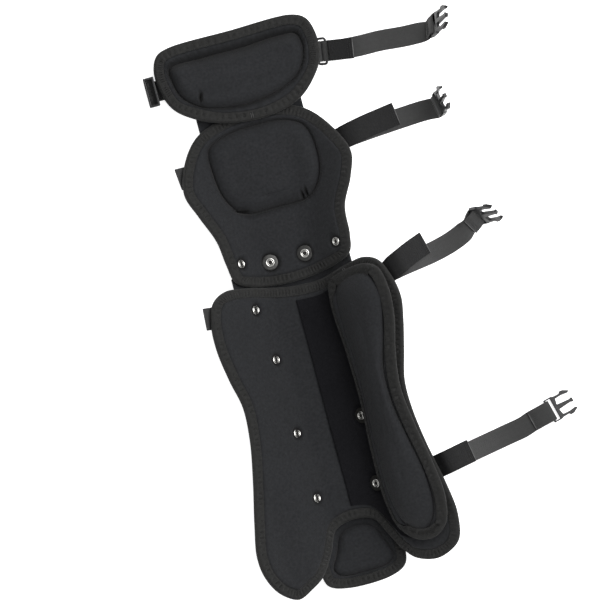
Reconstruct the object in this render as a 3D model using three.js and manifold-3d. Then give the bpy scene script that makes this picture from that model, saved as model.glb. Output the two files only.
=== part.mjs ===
import * as THREE from "three";
import { mergeVertices } from "three/addons/utils/BufferGeometryUtils.js";
import Module from "manifold-3d";

// Umpire leg guard lying on its outer face, lined side up, in millimetres.
// +Y runs from the ankle to the thigh, +X to the strap side, and the surface it lies on is z = 0.

const wasm = await Module();
wasm.setup();
const { clamp, degToRad, lerp, smoothstep } = THREE.MathUtils;

// Cloth, tape and webbing
const GAP = 0.3;
const TAPE_WIDTH = 12;
const WING_TAPE = 7;
const TAPE_THICK = 1.2;
const LINK_THICK = 2;
const PILE_THICK = 1.5;
const WEB_WIDTH = 25;
const WEB_THICK = 1.5;
const ANCHOR_WIDTH = 27;
const TAB_LIFT = WEB_THICK + 4 * GAP;
const TAB_ROOM = TAB_LIFT + 2 * GAP;
const STRAP_STEPS = 24;
const RING_STEPS = 12;
const TAB_STEPS = 8;

// Padding: the sewn border under the tape, and the quilted body of the shin and knee
const BORDER_THICK = 5;
const THIN_BORDER = 4;
const QUILT_THICK = 8;
const EDGE_INSET = TAPE_THICK + GAP;
const BORDER_INSET = TAPE_WIDTH + 0.8;
const WING_INSET = WING_TAPE + 1.6;
const UNDER_TAPE = TAPE_THICK + WEB_THICK / 2 + 3 * GAP;
const QUILT_INSET = TAPE_WIDTH + 5;

// Heights of the layers above the leg surface
const JOINT_LIFT = 5;
const TOE_LIFT = 9.6;
const FLAP_LIFT = 1.6;
const LINK_LIFT = 0.2;
const WING_RISE = QUILT_THICK + PILE_THICK + TAPE_THICK + 5 * GAP;

// Fasteners
const RIVET = { stem: 2.6, head: 6.5, rim: 0.4, headRise: 1.4, tail: 5.5, lip: 3.1, tailRise: 1.8 };
const BORE = { radius: 1.9, depth: 3 };
const DIMPLE = { radius: 10.5, depth: 2.6, flare: 6, sides: 8 };
const HEAD_SEAT = 3 * GAP;
const WASHER = { radius: 9.6, thick: 0.9, sides: 10 };
const BUCKLE = { width: 30, thick: 4.4, bar: 2.4, slot: 5.8, crossbar: 4.5, arm: 21 };
const SOCKET = { width: 36, deep: 13, tall: 26, wall: 2.6, base: 3, barRise: 5.4 };
const SOCKET_BAR = { wide: 27, side: 2.5 };
const SOCKET_AT = { x: -103, y: 406, z: 0.6 };
const RING = { long: 34, wide: 14, bar: 3, thick: 3 };

// Section of the trough that wraps the leg: half of its flat, width of its bend, slope of its wings.
const LEG = [
  { y: -230, flat: 20, bend: 34, slope: 0.7 },
  { y: -100, flat: 22, bend: 23, slope: 0.86 },
  { y: 60, flat: 22.5, bend: 22, slope: 0.9 },
  { y: 180, flat: 21, bend: 35, slope: 0.9 },
  { y: 270, flat: 26, bend: 52, slope: 0.76 },
  { y: 350, flat: 32, bend: 70, slope: 0.58 },
  { y: 455, flat: 36, bend: 90, slope: 0.46 },
];

// The thigh pad rides over the knee pad's top edge and comes down towards its own top.
const THIGH_LIFT = [
  { y: 335, lift: 14.5 },
  { y: 362, lift: 13.8 },
  { y: 392, lift: 4.4 },
  { y: 455, lift: 1.8 },
];

// Outlines seen from above, clockwise; each stretch starts at a corner and runs to the next one's start.
const THIGH_OUTLINE = {
  top: [{ x: -87, y: 446.5 }, { x: -72, y: 452.5 }, { x: 6, y: 454 }, { x: 83, y: 453.5 }],
  right: [{ x: 99.5, y: 445 }, { x: 106.5, y: 425 }, { x: 105.5, y: 402 }],
  bottom: [
    { x: 98.5, y: 383 }, { x: 69.5, y: 354 }, { x: 25, y: 342.5 }, { x: -21, y: 346 },
    { x: -59, y: 359.5 },
  ],
  left: [{ x: -83, y: 377.5 }, { x: -93, y: 400 }, { x: -95, y: 429 }],
};
const THIGH_PANEL = [
  { x: -77, y: 425 }, { x: 0, y: 429 }, { x: 76, y: 432 }, { x: 88, y: 421 }, { x: 83, y: 401 },
  { x: 68, y: 383 }, { x: 44, y: 372 }, { x: 8, y: 366 }, { x: -26, y: 366 }, { x: -52, y: 376 },
  { x: -72, y: 400 },
];
const KNEE_OUTLINE = {
  top: [{ x: -68, y: 338 }, { x: -38, y: 351 }, { x: 5, y: 357 }, { x: 48, y: 351 }],
  right: [
    { x: 74, y: 338 }, { x: 97, y: 310 }, { x: 111, y: 276 }, { x: 103, y: 247 },
    { x: 87, y: 214 }, { x: 84, y: 180 },
  ],
  bottom: [{ x: 78, y: 159 }, { x: 58, y: 149 }, { x: 5, y: 142 }, { x: -48, y: 148.5 }],
  left: [
    { x: -66, y: 159 }, { x: -71, y: 182 }, { x: -75, y: 212 }, { x: -88, y: 246 },
    { x: -98, y: 276 }, { x: -90, y: 308 },
  ],
};
const KNEE_PANEL = [
  { x: -54, y: 322 }, { x: -26, y: 334 }, { x: 7, y: 336 }, { x: 40, y: 334 }, { x: 64, y: 321 },
  { x: 71, y: 284 }, { x: 65, y: 256 }, { x: 48, y: 237 }, { x: 8, y: 234.5 }, { x: -34, y: 237 },
  { x: -51, y: 258 }, { x: -57, y: 288 },
];
const SHIN_OUTLINE = {
  top: [
    { x: -98.5, y: 142 }, { x: -83, y: 151.5 }, { x: -62, y: 150.5 }, { x: -24, y: 142 },
    { x: 2, y: 137.5 }, { x: 36, y: 137 }, { x: 70, y: 146 }, { x: 93, y: 149.5 },
  ],
  right: [
    { x: 108.5, y: 142 }, { x: 119.5, y: 118 }, { x: 123.7, y: 92 }, { x: 119.7, y: 66 },
    { x: 110.5, y: 28 }, { x: 102.2, y: -6 }, { x: 102, y: -40 }, { x: 108, y: -86 },
    { x: 118.2, y: -138 }, { x: 122.3, y: -177 },
  ],
  bottom: [
    { x: 114.5, y: -209 }, { x: 87, y: -222.5 }, { x: 62, y: -216 }, { x: 47, y: -199 },
    { x: 35, y: -178 }, { x: 22, y: -158 }, { x: -3, y: -152.5 }, { x: -26, y: -160 },
    { x: -39, y: -184 }, { x: -56, y: -209 }, { x: -71, y: -220 }, { x: -90, y: -228 },
  ],
  left: [
    { x: -110, y: -216 }, { x: -123, y: -192 }, { x: -126, y: -166 }, { x: -119, y: -128 },
    { x: -107, y: -76 }, { x: -98, y: -28 }, { x: -96, y: 12 }, { x: -103, y: 46 },
    { x: -108.5, y: 86 }, { x: -107, y: 118 },
  ],
};
const WING_OUTLINE = {
  top: [{ x: 46, y: 132 }, { x: 66, y: 140 }, { x: 90, y: 142 }],
  right: [
    { x: 105, y: 134 }, { x: 112, y: 106 }, { x: 110, y: 72 }, { x: 100, y: 28 },
    { x: 95, y: -12 }, { x: 100, y: -58 }, { x: 110, y: -115 }, { x: 113, y: -154 },
  ],
  bottom: [{ x: 105, y: -185 }, { x: 88, y: -197 }, { x: 69, y: -195 }],
  left: [
    { x: 51, y: -177 }, { x: 43, y: -144 }, { x: 42, y: -81 }, { x: 45, y: -20 }, { x: 44, y: 44 },
    { x: 41, y: 104 },
  ],
};
const WING_PANEL = [
  { x: 52, y: 124 }, { x: 68, y: 133 }, { x: 88, y: 132 }, { x: 100, y: 104 }, { x: 93, y: 60 },
  { x: 80, y: 12 }, { x: 80, y: -30 }, { x: 88, y: -76 }, { x: 97, y: -128 }, { x: 93, y: -170 },
  { x: 78, y: -185 }, { x: 61, y: -177 }, { x: 49, y: -146 }, { x: 48, y: -70 }, { x: 50, y: 20 },
  { x: 48, y: 90 },
];
const FLAP_OUTLINE = {
  top: [{ x: -46, y: -132 }, { x: -3, y: -127 }],
  right: [{ x: 42, y: -132 }, { x: 51, y: -156 }, { x: 51, y: -192 }],
  bottom: [{ x: 46, y: -219.5 }, { x: 27, y: -229.3 }, { x: -31, y: -230.3 }],
  left: [{ x: -52.5, y: -221.5 }, { x: -57, y: -194 }, { x: -55, y: -156 }],
};
const FLAP_PANEL = [
  { x: -3, y: -160 }, { x: 17, y: -165 }, { x: 29, y: -187 }, { x: 34, y: -206 },
  { x: 25, y: -214 }, { x: -4, y: -216.5 }, { x: -33, y: -214 }, { x: -40, y: -205 },
  { x: -31, y: -187 }, { x: -21, y: -166 },
];

// Grids of the pads' faces: stations across the top and bottom, and along the sides.
const THIGH_GRID = { across: 10, along: 6 };
const KNEE_GRID = { across: 9, along: 9 };
const SHIN_GRID = { across: 14, along: 12 };
const WING_GRID = { across: 5, along: 12 };
const FLAP_GRID = { across: 6, along: 6 };

// The raised panels: height n above the outer face at a margin inside the panel's line, and the crown.
const THIGH_SWELL = [{ margin: 0, n: 5.5 }, { margin: 3.5, n: 13 }, { margin: 11, n: 17 }];
const KNEE_SWELL = [{ margin: 0, n: 8 }, { margin: 4, n: 14 }, { margin: 13, n: 17 }];
const WING_SWELL = [{ margin: 3.5, n: 10 }, { margin: 9, n: 14 }];
const FLAP_SWELL = [{ margin: 0, n: 4.4 }, { margin: 5, n: 8 }];
const CROWN = { thigh: 4, knee: 4, shin: 0, wing: 2.5, flap: 1.5 };

// Lines down the middle of the panels, from which their edges are reached.
const THIGH_SPINE = [{ x: -42, y: 402 }, { x: 52, y: 402 }];
const KNEE_SPINE = [{ x: 6, y: 262 }, { x: 6, y: 306 }];
const WING_SPINE = [{ x: 70, y: -150 }, { x: 72, y: 104 }];
const FLAP_SPINE = [{ x: -4, y: -196 }, { x: -4, y: -186 }];

// Cloth links behind the joints, by the edges seen from above.
const LINKS = [
  { node: "thigh_link", left: -60, right: 69, bottom: 318, top: 400 },
  { node: "knee_link", left: -69, right: 77, bottom: 129, top: 164 },
];

// Rivets, each at the place of its tail seen from above.
const RIVETS = [
  { node: "knee_rivet_1", pad: "knee", x: -52.5, y: 179 },
  { node: "knee_rivet_2", pad: "knee", x: -18.3, y: 172, washer: "knee_washer_2" },
  { node: "knee_rivet_3", pad: "knee", x: 25, y: 172, washer: "knee_washer_3" },
  { node: "knee_rivet_4", pad: "knee", x: 64.7, y: 176 },
  { node: "shin_rivet_1", pad: "shin", x: -50, y: 121 },
  { node: "shin_rivet_2", pad: "shin", x: -41.8, y: 57 },
  { node: "shin_rivet_3", pad: "shin", x: -40.5, y: -35 },
  { node: "shin_rivet_4", pad: "shin", x: -37.3, y: -116 },
  { node: "shin_rivet_5", pad: "shin", x: 40.6, y: -34, washer: "shin_washer_5" },
  { node: "shin_rivet_6", pad: "shin", x: 37, y: -117, washer: "shin_washer_6" },
];

// Straps: rows sewn under a pad, rows that fall to the floor, the place of the buckle's bar, the reach of
// the doubled end behind it, and the folded-back hook tab, counted in rows from the strap's start.
const STRAPS = [
  {
    name: "ankle",
    pad: "shin",
    sewn: [{ x: 88, y: -119 }, { x: 108, y: -117, drop: TAB_ROOM }],
    free: [
      { x: 128, y: -114, z: 72 },
      { x: 146, y: -111, z: 61 },
      { x: 174, y: -106.5, z: 32 },
      { x: 204, y: -101.5, z: 8 },
      { x: 224, y: -98, z: 4 },
    ],
    buckle: { x: 260, y: -88, z: 4.6, yaw: 14, pitch: 0, roll: 0 },
    fold: { back: 24, hinge: 0 },
    tab: { from: 0.9, to: 3.3, swing: 1, width: 28 },
  },
  {
    name: "calf",
    pad: "shin",
    sewn: [{ x: 94, y: 120 }, { x: 112, y: 124, drop: TAB_ROOM }],
    free: [
      { x: 131, y: 127, z: 82 },
      { x: 148, y: 129.5, z: 70 },
      { x: 174, y: 133.5, z: 40 },
      { x: 197, y: 139.2, z: 24 },
      { x: 212, y: 145, z: 19.5 },
    ],
    buckle: { x: 235.6, y: 161.6, z: 14, yaw: -3, pitch: 38, roll: 48 },
    fold: { back: 16, hinge: 68 },
    tab: { from: 1.05, to: 3.72, swing: 14.4, width: 28 },
  },
  {
    name: "knee",
    pad: "knee",
    sewn: [{ x: 80, y: 292 }, { x: 98, y: 293.5, drop: TAB_ROOM }],
    free: [
      { x: 117, y: 294.4, z: 38 },
      { x: 137, y: 296.2, z: 31 },
      { x: 164, y: 298.2, z: 12 },
      { x: 188, y: 299.7, z: 3.4 },
      { x: 203, y: 300.5, z: 3.6 },
      { x: 214, y: 300.4, z: 7.6 },
    ],
    buckle: { x: 226, y: 302.5, z: 27, yaw: 42, pitch: 64, roll: -34 },
    fold: { back: 10, hinge: 0 },
    tab: { from: 0.9, to: 4.4, swing: 7, width: 28 },
  },
];
const THIGH = {
  ring: { x: 107.5, y: 401, z: 12.6, yaw: -9, pitch: 8, roll: 0 },
  fold: 33,
  ringTab: [{ x: 76, y: 404 }, { x: 90, y: 403, drop: 0.6 }],
  socketTab: [{ x: -66, y: 406 }, { x: -84, y: 406, drop: 0.6 }],
  free: [
    { x: 152, y: 395.8, z: 13 },
    { x: 178, y: 395.4, z: 8 },
    { x: 206, y: 393, z: 7 },
    { x: 222, y: 392.4, z: 7.6 },
  ],
  buckle: { x: 244, y: 396, z: 18, yaw: 25, pitch: 47, roll: -47 },
  loop: { back: 11, hinge: 0 },
};
const ANCHORS = [
  {
    node: "knee_anchor_tab",
    pad: "knee",
    rows: [{ x: -66, y: 296 }, { x: -82, y: 296.5 }, { x: -97, y: 297, drop: 0.8 }],
  },
  {
    node: "shin_anchor_tab",
    pad: "shin",
    rows: [{ x: -80, y: 122.5 }, { x: -96, y: 124.2 }, { x: -109, y: 125.8, drop: 0.8 }],
  },
];

const BLACK = {
  cloth: 0x2d2e31,
  tape: 0x30302f,
  pile: 0x141518,
  web: 0x3e3e3e,
  hook: 0x1e1e20,
  plastic: 0x34353a,
};
const NICKEL = 0xd8d8d4;

const guard = new THREE.Group();

function add(name, geometry, color, roughness = 0.9, metalness = 0) {
  const mesh = new THREE.Mesh(geometry, new THREE.MeshStandardMaterial({ color, roughness, metalness }));
  mesh.name = name;
  guard.add(mesh);
}

// Value of a table's column at a place along it, on a cubic through the rows.
function follow(rows, key, column, place) {
  const last = rows.length - 1;
  const at = clamp(place, rows[0][key], rows[last][key]);
  let i = 0;
  while (i < last - 1 && at > rows[i + 1][key]) i += 1;
  const tangent = (k) => {
    const before = rows[Math.max(k - 1, 0)];
    const after = rows[Math.min(k + 1, last)];
    return (after[column] - before[column]) / (after[key] - before[key]);
  };
  const span = rows[i + 1][key] - rows[i][key];
  const t = (at - rows[i][key]) / span;
  const rise = rows[i + 1][column] - rows[i][column];
  const a = tangent(i) * span;
  const b = tangent(i + 1) * span;
  return rows[i][column] + a * t + (3 * rise - 2 * a - b) * t * t + (a + b - 2 * rise) * t * t * t;
}

// Height of the trough's parallel at a distance `lift` from its outer face: flat, a bend, straight wings.
function trough(x, y, lift) {
  const slope = follow(LEG, "y", "slope", y);
  const tighter = (2 * lift * (Math.hypot(1, slope) - 1)) / slope;
  const bend = follow(LEG, "y", "bend", y) - tighter;
  const out = Math.max(Math.abs(x) - follow(LEG, "y", "flat", y), 0);
  return lift + slope * (out < bend ? (out * out) / (2 * bend) : out - bend / 2);
}

// The shin stands off the trough over the knee link, and over the instep flap between its lobes.
function shinLift(x, y) {
  const atKnee = JOINT_LIFT * smoothstep(y, 60, 128);
  const overFlap = TOE_LIFT * smoothstep(-y, 50, 108) * (1 - smoothstep(Math.abs(x), 60, 104));
  return atKnee + overFlap;
}

// Outer faces of the pads and links.
const kneeFace = (x, y) => trough(x, y, JOINT_LIFT);
const shinFace = (x, y) => trough(x, y, shinLift(x, y));
const wingFace = (x, y) => trough(x, y, shinLift(x, y) + WING_RISE);
const thighFace = (x, y) => trough(x, y, follow(THIGH_LIFT, "y", "lift", y));
const flapFace = (x, y) => trough(x, y, FLAP_LIFT);
const linkFace = (x, y) => trough(x, y, LINK_LIFT);
const FACES = { knee: kneeFace, shin: shinFace };

function gradient(face, x, y) {
  const step = 0.5;
  return {
    gx: (face(x + step, y) - face(x - step, y)) / (2 * step),
    gy: (face(x, y + step) - face(x, y - step)) / (2 * step),
  };
}

// The point that stands n above a face's foot (x, y), along the face's normal.
function raise(face, { x, y, n }) {
  const { gx, gy } = gradient(face, x, y);
  const k = n / Math.hypot(gx, gy, 1);
  return new THREE.Vector3(x - gx * k, y - gy * k, face(x, y) + k);
}

// The foot whose point n above the face is seen at (x, y) from above.
function footUnder(face, x, y, n) {
  const foot = { x, y, n };
  for (let pass = 0; pass < 5; pass += 1) {
    const top = raise(face, foot);
    foot.x += x - top.x;
    foot.y += y - top.y;
  }
  return foot;
}

function closedCurve(rows) {
  const points = rows.map(({ x, y }) => new THREE.Vector3(x, y, 0));
  return new THREE.CatmullRomCurve3(points, true, "centripetal");
}

// Stations on an outline: `across` on its top and bottom, `along` on its sides, evenly spaced on each.
function stationsOf(outline, { across, along }) {
  const stretches = [outline.top, outline.right, outline.bottom, outline.left];
  const rows = stretches.flat();
  const curve = closedCurve(rows);
  const stations = [];
  let first = 0;
  stretches.forEach((stretch, k) => {
    const fine = 60;
    const points = [];
    for (let i = 0; i <= fine; i += 1) {
      points.push(curve.getPoint(((first + (stretch.length * i) / fine) / rows.length) % 1));
    }
    const even = new THREE.CurvePath();
    points.slice(1).forEach((p, i) => even.add(new THREE.LineCurve3(points[i], p)));
    const count = k % 2 ? along : across;
    for (let i = 0; i < count; i += 1) stations.push(even.getPointAt(i / count));
    first += stretch.length;
  });
  return stations.map((p, i) => {
    const before = stations.at(i - 1);
    const after = stations[(i + 1) % stations.length];
    const inward = new THREE.Vector2(after.y - before.y, before.x - after.x).normalize();
    return { x: p.x, y: p.y, inX: inward.x, inY: inward.y };
  });
}

// The stations moved inwards by a distance measured on the face, at height n above it.
function ringInside(face, stations, inset, n) {
  return stations.map(({ x, y, inX, inY }) => {
    const { gx, gy } = gradient(face, x, y);
    const step = inset / Math.hypot(1, gx * inX + gy * inY);
    return { x: x + inX * step, y: y + inY * step, n };
  });
}

// The ring where lines from a pad's spine to its stations cross a panel's outline, drawn in by a margin.
function ringOnPanel(face, stations, spine, panel, margin, n) {
  const line = closedCurve(panel).getPoints(160);
  const [a, b] = spine;
  const lengthSquared = (b.x - a.x) ** 2 + (b.y - a.y) ** 2;
  return stations.map(({ x, y }) => {
    const t = lengthSquared ? ((x - a.x) * (b.x - a.x) + (y - a.y) * (b.y - a.y)) / lengthSquared : 0;
    const fromX = lerp(a.x, b.x, clamp(t, 0, 1));
    const fromY = lerp(a.y, b.y, clamp(t, 0, 1));
    const reach = Math.hypot(x - fromX, y - fromY);
    const ux = (x - fromX) / reach;
    const uy = (y - fromY) / reach;
    let far = 0;
    line.slice(1).forEach((q, i) => {
      const p = line[i];
      const det = ux * (p.y - q.y) - uy * (p.x - q.x);
      const along = ((p.x - fromX) * (p.y - q.y) - (p.y - fromY) * (p.x - q.x)) / det;
      const share = (ux * (p.y - fromY) - uy * (p.x - fromX)) / det;
      if (share >= 0 && share <= 1) far = Math.max(far, along);
    });
    return footUnder(face, fromX + ux * (far - margin), fromY + uy * (far - margin), n);
  });
}

// A closed solid from vertex rows; the winding is turned if the volume comes out negative.
function solid(points, triangles) {
  let volume = 0;
  triangles.forEach(([i, j, k]) => {
    volume += points[i].dot(new THREE.Vector3().crossVectors(points[j], points[k]));
  });
  const wound = volume < 0 ? triangles.map(([i, j, k]) => [i, k, j]) : triangles;
  return new THREE.BufferGeometry().setFromPoints(points).setIndex(wound.flat());
}

// A ring's inside as a grid: the Coons patch on its stations, swelling by `crown` towards its middle.
function fillRing(face, ring, across, along, crown) {
  const total = ring.length;
  const corner = { topRight: across, bottomRight: across + along, bottomLeft: 2 * across + along };
  const inside = [];
  for (let j = 1; j < along; j += 1) {
    for (let i = 1; i < across; i += 1) {
      const u = i / across;
      const v = j / along;
      const top = ring[i];
      const right = ring[corner.topRight + j];
      const bottom = ring[corner.bottomLeft - i];
      const left = ring[total - j];
      const blend = (key) =>
        (1 - v) * top[key] + v * bottom[key] + (1 - u) * left[key] + u * right[key] -
        (1 - u) * (1 - v) * ring[0][key] - u * (1 - v) * ring[corner.topRight][key] -
        u * v * ring[corner.bottomRight][key] - (1 - u) * v * ring[corner.bottomLeft][key];
      const swell = crown * Math.sqrt(16 * u * (1 - u) * v * (1 - v));
      inside.push(raise(face, { x: blend("x"), y: blend("y"), n: blend("n") + swell }));
    }
  }
  const index = (i, j, ringStart, insideStart) => {
    if (j === 0) return ringStart + i;
    if (i === across) return ringStart + corner.topRight + j;
    if (j === along) return ringStart + corner.bottomLeft - i;
    if (i === 0) return ringStart + total - j;
    return insideStart + (j - 1) * (across - 1) + i - 1;
  };
  const trianglesAt = (ringStart, insideStart) => {
    const triangles = [];
    for (let j = 0; j < along; j += 1) {
      for (let i = 0; i < across; i += 1) {
        const corners = [[i, j], [i + 1, j], [i + 1, j + 1], [i, j + 1]];
        const [a, b, c, d] = corners.map(([m, k]) => index(m, k, ringStart, insideStart));
        triangles.push([a, b, c], [a, c, d]);
      }
    }
    return triangles;
  };
  return { inside, trianglesAt };
}

// Triangles that join each ring to the next one.
function joinRings(count, stations) {
  const triangles = [];
  for (let r = 0; r < count - 1; r += 1) {
    for (let i = 0; i < stations; i += 1) {
      const next = (i + 1) % stations;
      const [a, b] = [r * stations + i, r * stations + next];
      const [c, d] = [a + stations, b + stations];
      triangles.push([a, b, d], [a, d, c]);
    }
  }
  return triangles;
}

// A pad: rings from the middle of its outer face, round the edge, to the middle of its inner face.
function padSolid(face, { outerRings, innerRings, across, along, crown }) {
  const rings = [...outerRings, ...innerRings];
  const stations = rings[0].length;
  const points = rings.flat().map((foot) => raise(face, foot));
  const triangles = joinRings(rings.length, stations);
  const outerFill = fillRing(face, rings[0], across, along, 0);
  const innerFill = fillRing(face, rings.at(-1), across, along, crown);
  const outerStart = points.length;
  points.push(...outerFill.inside);
  outerFill.trianglesAt(0, outerStart).forEach(([i, j, k]) => triangles.push([i, k, j]));
  const innerStart = points.length;
  points.push(...innerFill.inside);
  triangles.push(...innerFill.trianglesAt((rings.length - 1) * stations, innerStart));
  return solid(points, triangles);
}

// The folded tape round a pad's edge: a U section carried round the stations.
function bindingSolid(face, stations, border, width) {
  const low = -GAP - TAPE_THICK;
  const high = border + GAP + TAPE_THICK;
  const inner = EDGE_INSET - GAP;
  const section = [
    { inset: width, n: -GAP },
    { inset: inner, n: -GAP },
    { inset: inner, n: border + GAP },
    { inset: width, n: border + GAP },
    { inset: width, n: high },
    { inset: 0, n: high },
    { inset: 0, n: low },
    { inset: width, n: low },
  ];
  const rings = section.map(({ inset, n }) => ringInside(face, stations, inset, n));
  rings.push(rings[0]);
  const points = rings.slice(0, -1).flat().map((foot) => raise(face, foot));
  const triangles = joinRings(rings.length, stations.length);
  const wrapped = triangles.map((t) => t.map((i) => i % points.length));
  return solid(points, wrapped);
}

function manifoldOf(geometry) {
  const bare = geometry.clone();
  bare.deleteAttribute("normal");
  bare.deleteAttribute("uv");
  const merged = mergeVertices(bare, 1e-3);
  return new wasm.Manifold(
    new wasm.Mesh({
      numProp: 3,
      vertProperties: new Float32Array(merged.attributes.position.array),
      triVerts: new Uint32Array(merged.index.array),
    }),
  );
}

function geometryOf(manifold) {
  const mesh = manifold.getMesh();
  return new THREE.BufferGeometry()
    .setAttribute("position", new THREE.BufferAttribute(new Float32Array(mesh.vertProperties), 3))
    .setIndex(new THREE.BufferAttribute(new Uint32Array(mesh.triVerts), 1));
}

function cut(geometry, tools) {
  return geometryOf(tools.reduce((left, tool) => left.subtract(manifoldOf(tool)), manifoldOf(geometry)));
}

function join(...geometries) {
  return geometryOf(geometries.map(manifoldOf).reduce((whole, piece) => whole.add(piece)));
}

// A lathed solid about the face's normal at a foot; profile rows hold radius r and height n above it.
function turned(face, foot, profile, sides) {
  const { gx, gy } = gradient(face, foot.x, foot.y);
  const normal = new THREE.Vector3(-gx, -gy, 1).normalize();
  const rows = profile.map(({ r, n }) => new THREE.Vector2(r, n));
  const turn = new THREE.Quaternion().setFromUnitVectors(new THREE.Vector3(0, 1, 0), normal);
  const base = raise(face, { ...foot, n: 0 });
  return new THREE.LatheGeometry(rows, sides).applyQuaternion(turn).translate(base.x, base.y, base.z);
}

// Frames along a strip's rows: where it is, the way of its width and the way of its upper face.
function framesOf(rows) {
  const path = new THREE.CatmullRomCurve3(rows.map((row) => row.at), false, "centripetal");
  const sides = new THREE.CatmullRomCurve3(rows.map((row) => row.side), false, "centripetal");
  return (t) => {
    const tangent = path.getTangent(t);
    const side = sides.getPoint(t);
    side.addScaledVector(tangent, -side.dot(tangent)).normalize();
    return { at: path.getPoint(t), side, up: new THREE.Vector3().crossVectors(tangent, side) };
  };
}

// A flat strip carried along rows that hold its middle and the way of its width.
function ribbon(rows, width, thick, steps) {
  const frameAt = framesOf(rows);
  const points = [];
  for (let i = 0; i <= steps; i += 1) {
    const { at, side, up } = frameAt(i / steps);
    [[-1, -1], [1, -1], [1, 1], [-1, 1]].forEach(([across, rise]) => {
      const corner = at.clone().addScaledVector(side, (across * width) / 2);
      points.push(corner.addScaledVector(up, (rise * thick) / 2));
    });
  }
  const triangles = joinRings(steps + 1, 4);
  const end = steps * 4;
  triangles.push([0, 2, 1], [0, 3, 2], [end, end + 1, end + 2], [end, end + 2, end + 3]);
  return solid(points, triangles);
}

// Webbing that lies level across its path: the width of each row is square to the way to its neighbours.
function levelRows(points) {
  return points.map((at, i) => {
    const before = points[Math.max(i - 1, 0)];
    const after = points[Math.min(i + 1, points.length - 1)];
    const way = new THREE.Vector3().subVectors(after, before);
    return { at, side: new THREE.Vector3(-way.y, way.x, 0).normalize() };
  });
}

function vectors(rows) {
  return rows.map(({ x, y, z }) => new THREE.Vector3(x, y, z));
}

// Webbing sewn under a pad's outer face, below its tape, with its width lying in the face.
function sewnRows(face, rows) {
  return rows.map(({ x, y, drop = 0 }) => ({
    at: raise(face, { x, y, n: -UNDER_TAPE - drop }),
    side: new THREE.Vector3(0, 1, gradient(face, x, y).gy).normalize(),
  }));
}

// A pad with a sewn border, an optional quilted body, and rings up the side of its raised panel.
function panelledPad(face, stations, grid, { border, inset, body, panels, crown }) {
  return padSolid(face, {
    ...grid,
    crown,
    outerRings: [ringInside(face, stations, inset, 0), ringInside(face, stations, EDGE_INSET, 0)],
    innerRings: [
      ringInside(face, stations, EDGE_INSET, border),
      ringInside(face, stations, inset, border),
      ...body,
      ...panels,
    ],
  });
}

function panelRings(face, stations, spine, panel, swell) {
  return swell.map(({ margin, n }) => ringOnPanel(face, stations, spine, panel, margin, n));
}

// Pads and their edge tapes
const thighStations = stationsOf(THIGH_OUTLINE, THIGH_GRID);
add("thigh_pad", panelledPad(thighFace, thighStations, THIGH_GRID, {
  border: BORDER_THICK,
  inset: BORDER_INSET,
  body: [],
  panels: panelRings(thighFace, thighStations, THIGH_SPINE, THIGH_PANEL, THIGH_SWELL),
  crown: CROWN.thigh,
}), BLACK.cloth);
add("thigh_binding", bindingSolid(thighFace, thighStations, BORDER_THICK, TAPE_WIDTH), BLACK.tape);

const kneeStations = stationsOf(KNEE_OUTLINE, KNEE_GRID);
const kneePad = panelledPad(kneeFace, kneeStations, KNEE_GRID, {
  border: BORDER_THICK,
  inset: BORDER_INSET,
  body: [ringInside(kneeFace, kneeStations, QUILT_INSET, QUILT_THICK)],
  panels: panelRings(kneeFace, kneeStations, KNEE_SPINE, KNEE_PANEL, KNEE_SWELL),
  crown: CROWN.knee,
});
add("knee_binding", bindingSolid(kneeFace, kneeStations, BORDER_THICK, TAPE_WIDTH), BLACK.tape);

const shinStations = stationsOf(SHIN_OUTLINE, SHIN_GRID);
const shinInner = ringInside(shinFace, shinStations, QUILT_INSET, QUILT_THICK);
const shinPad = panelledPad(shinFace, shinStations, SHIN_GRID, {
  border: BORDER_THICK,
  inset: BORDER_INSET,
  body: [shinInner],
  panels: [],
  crown: CROWN.shin,
});
add("shin_binding", bindingSolid(shinFace, shinStations, BORDER_THICK, TAPE_WIDTH), BLACK.tape);

const wingStations = stationsOf(WING_OUTLINE, WING_GRID);
add("wing_pad", panelledPad(wingFace, wingStations, WING_GRID, {
  border: THIN_BORDER,
  inset: WING_INSET,
  body: [],
  panels: panelRings(wingFace, wingStations, WING_SPINE, WING_PANEL, WING_SWELL),
  crown: CROWN.wing,
}), BLACK.cloth);
add("wing_binding", bindingSolid(wingFace, wingStations, THIN_BORDER, WING_TAPE), BLACK.tape);

const flapStations = stationsOf(FLAP_OUTLINE, FLAP_GRID);
add("instep_flap", panelledPad(flapFace, flapStations, FLAP_GRID, {
  border: THIN_BORDER,
  inset: BORDER_INSET,
  body: [],
  panels: panelRings(flapFace, flapStations, FLAP_SPINE, FLAP_PANEL, FLAP_SWELL),
  crown: CROWN.flap,
}), BLACK.cloth);
add("instep_binding", bindingSolid(flapFace, flapStations, THIN_BORDER, TAPE_WIDTH), BLACK.tape);

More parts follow.
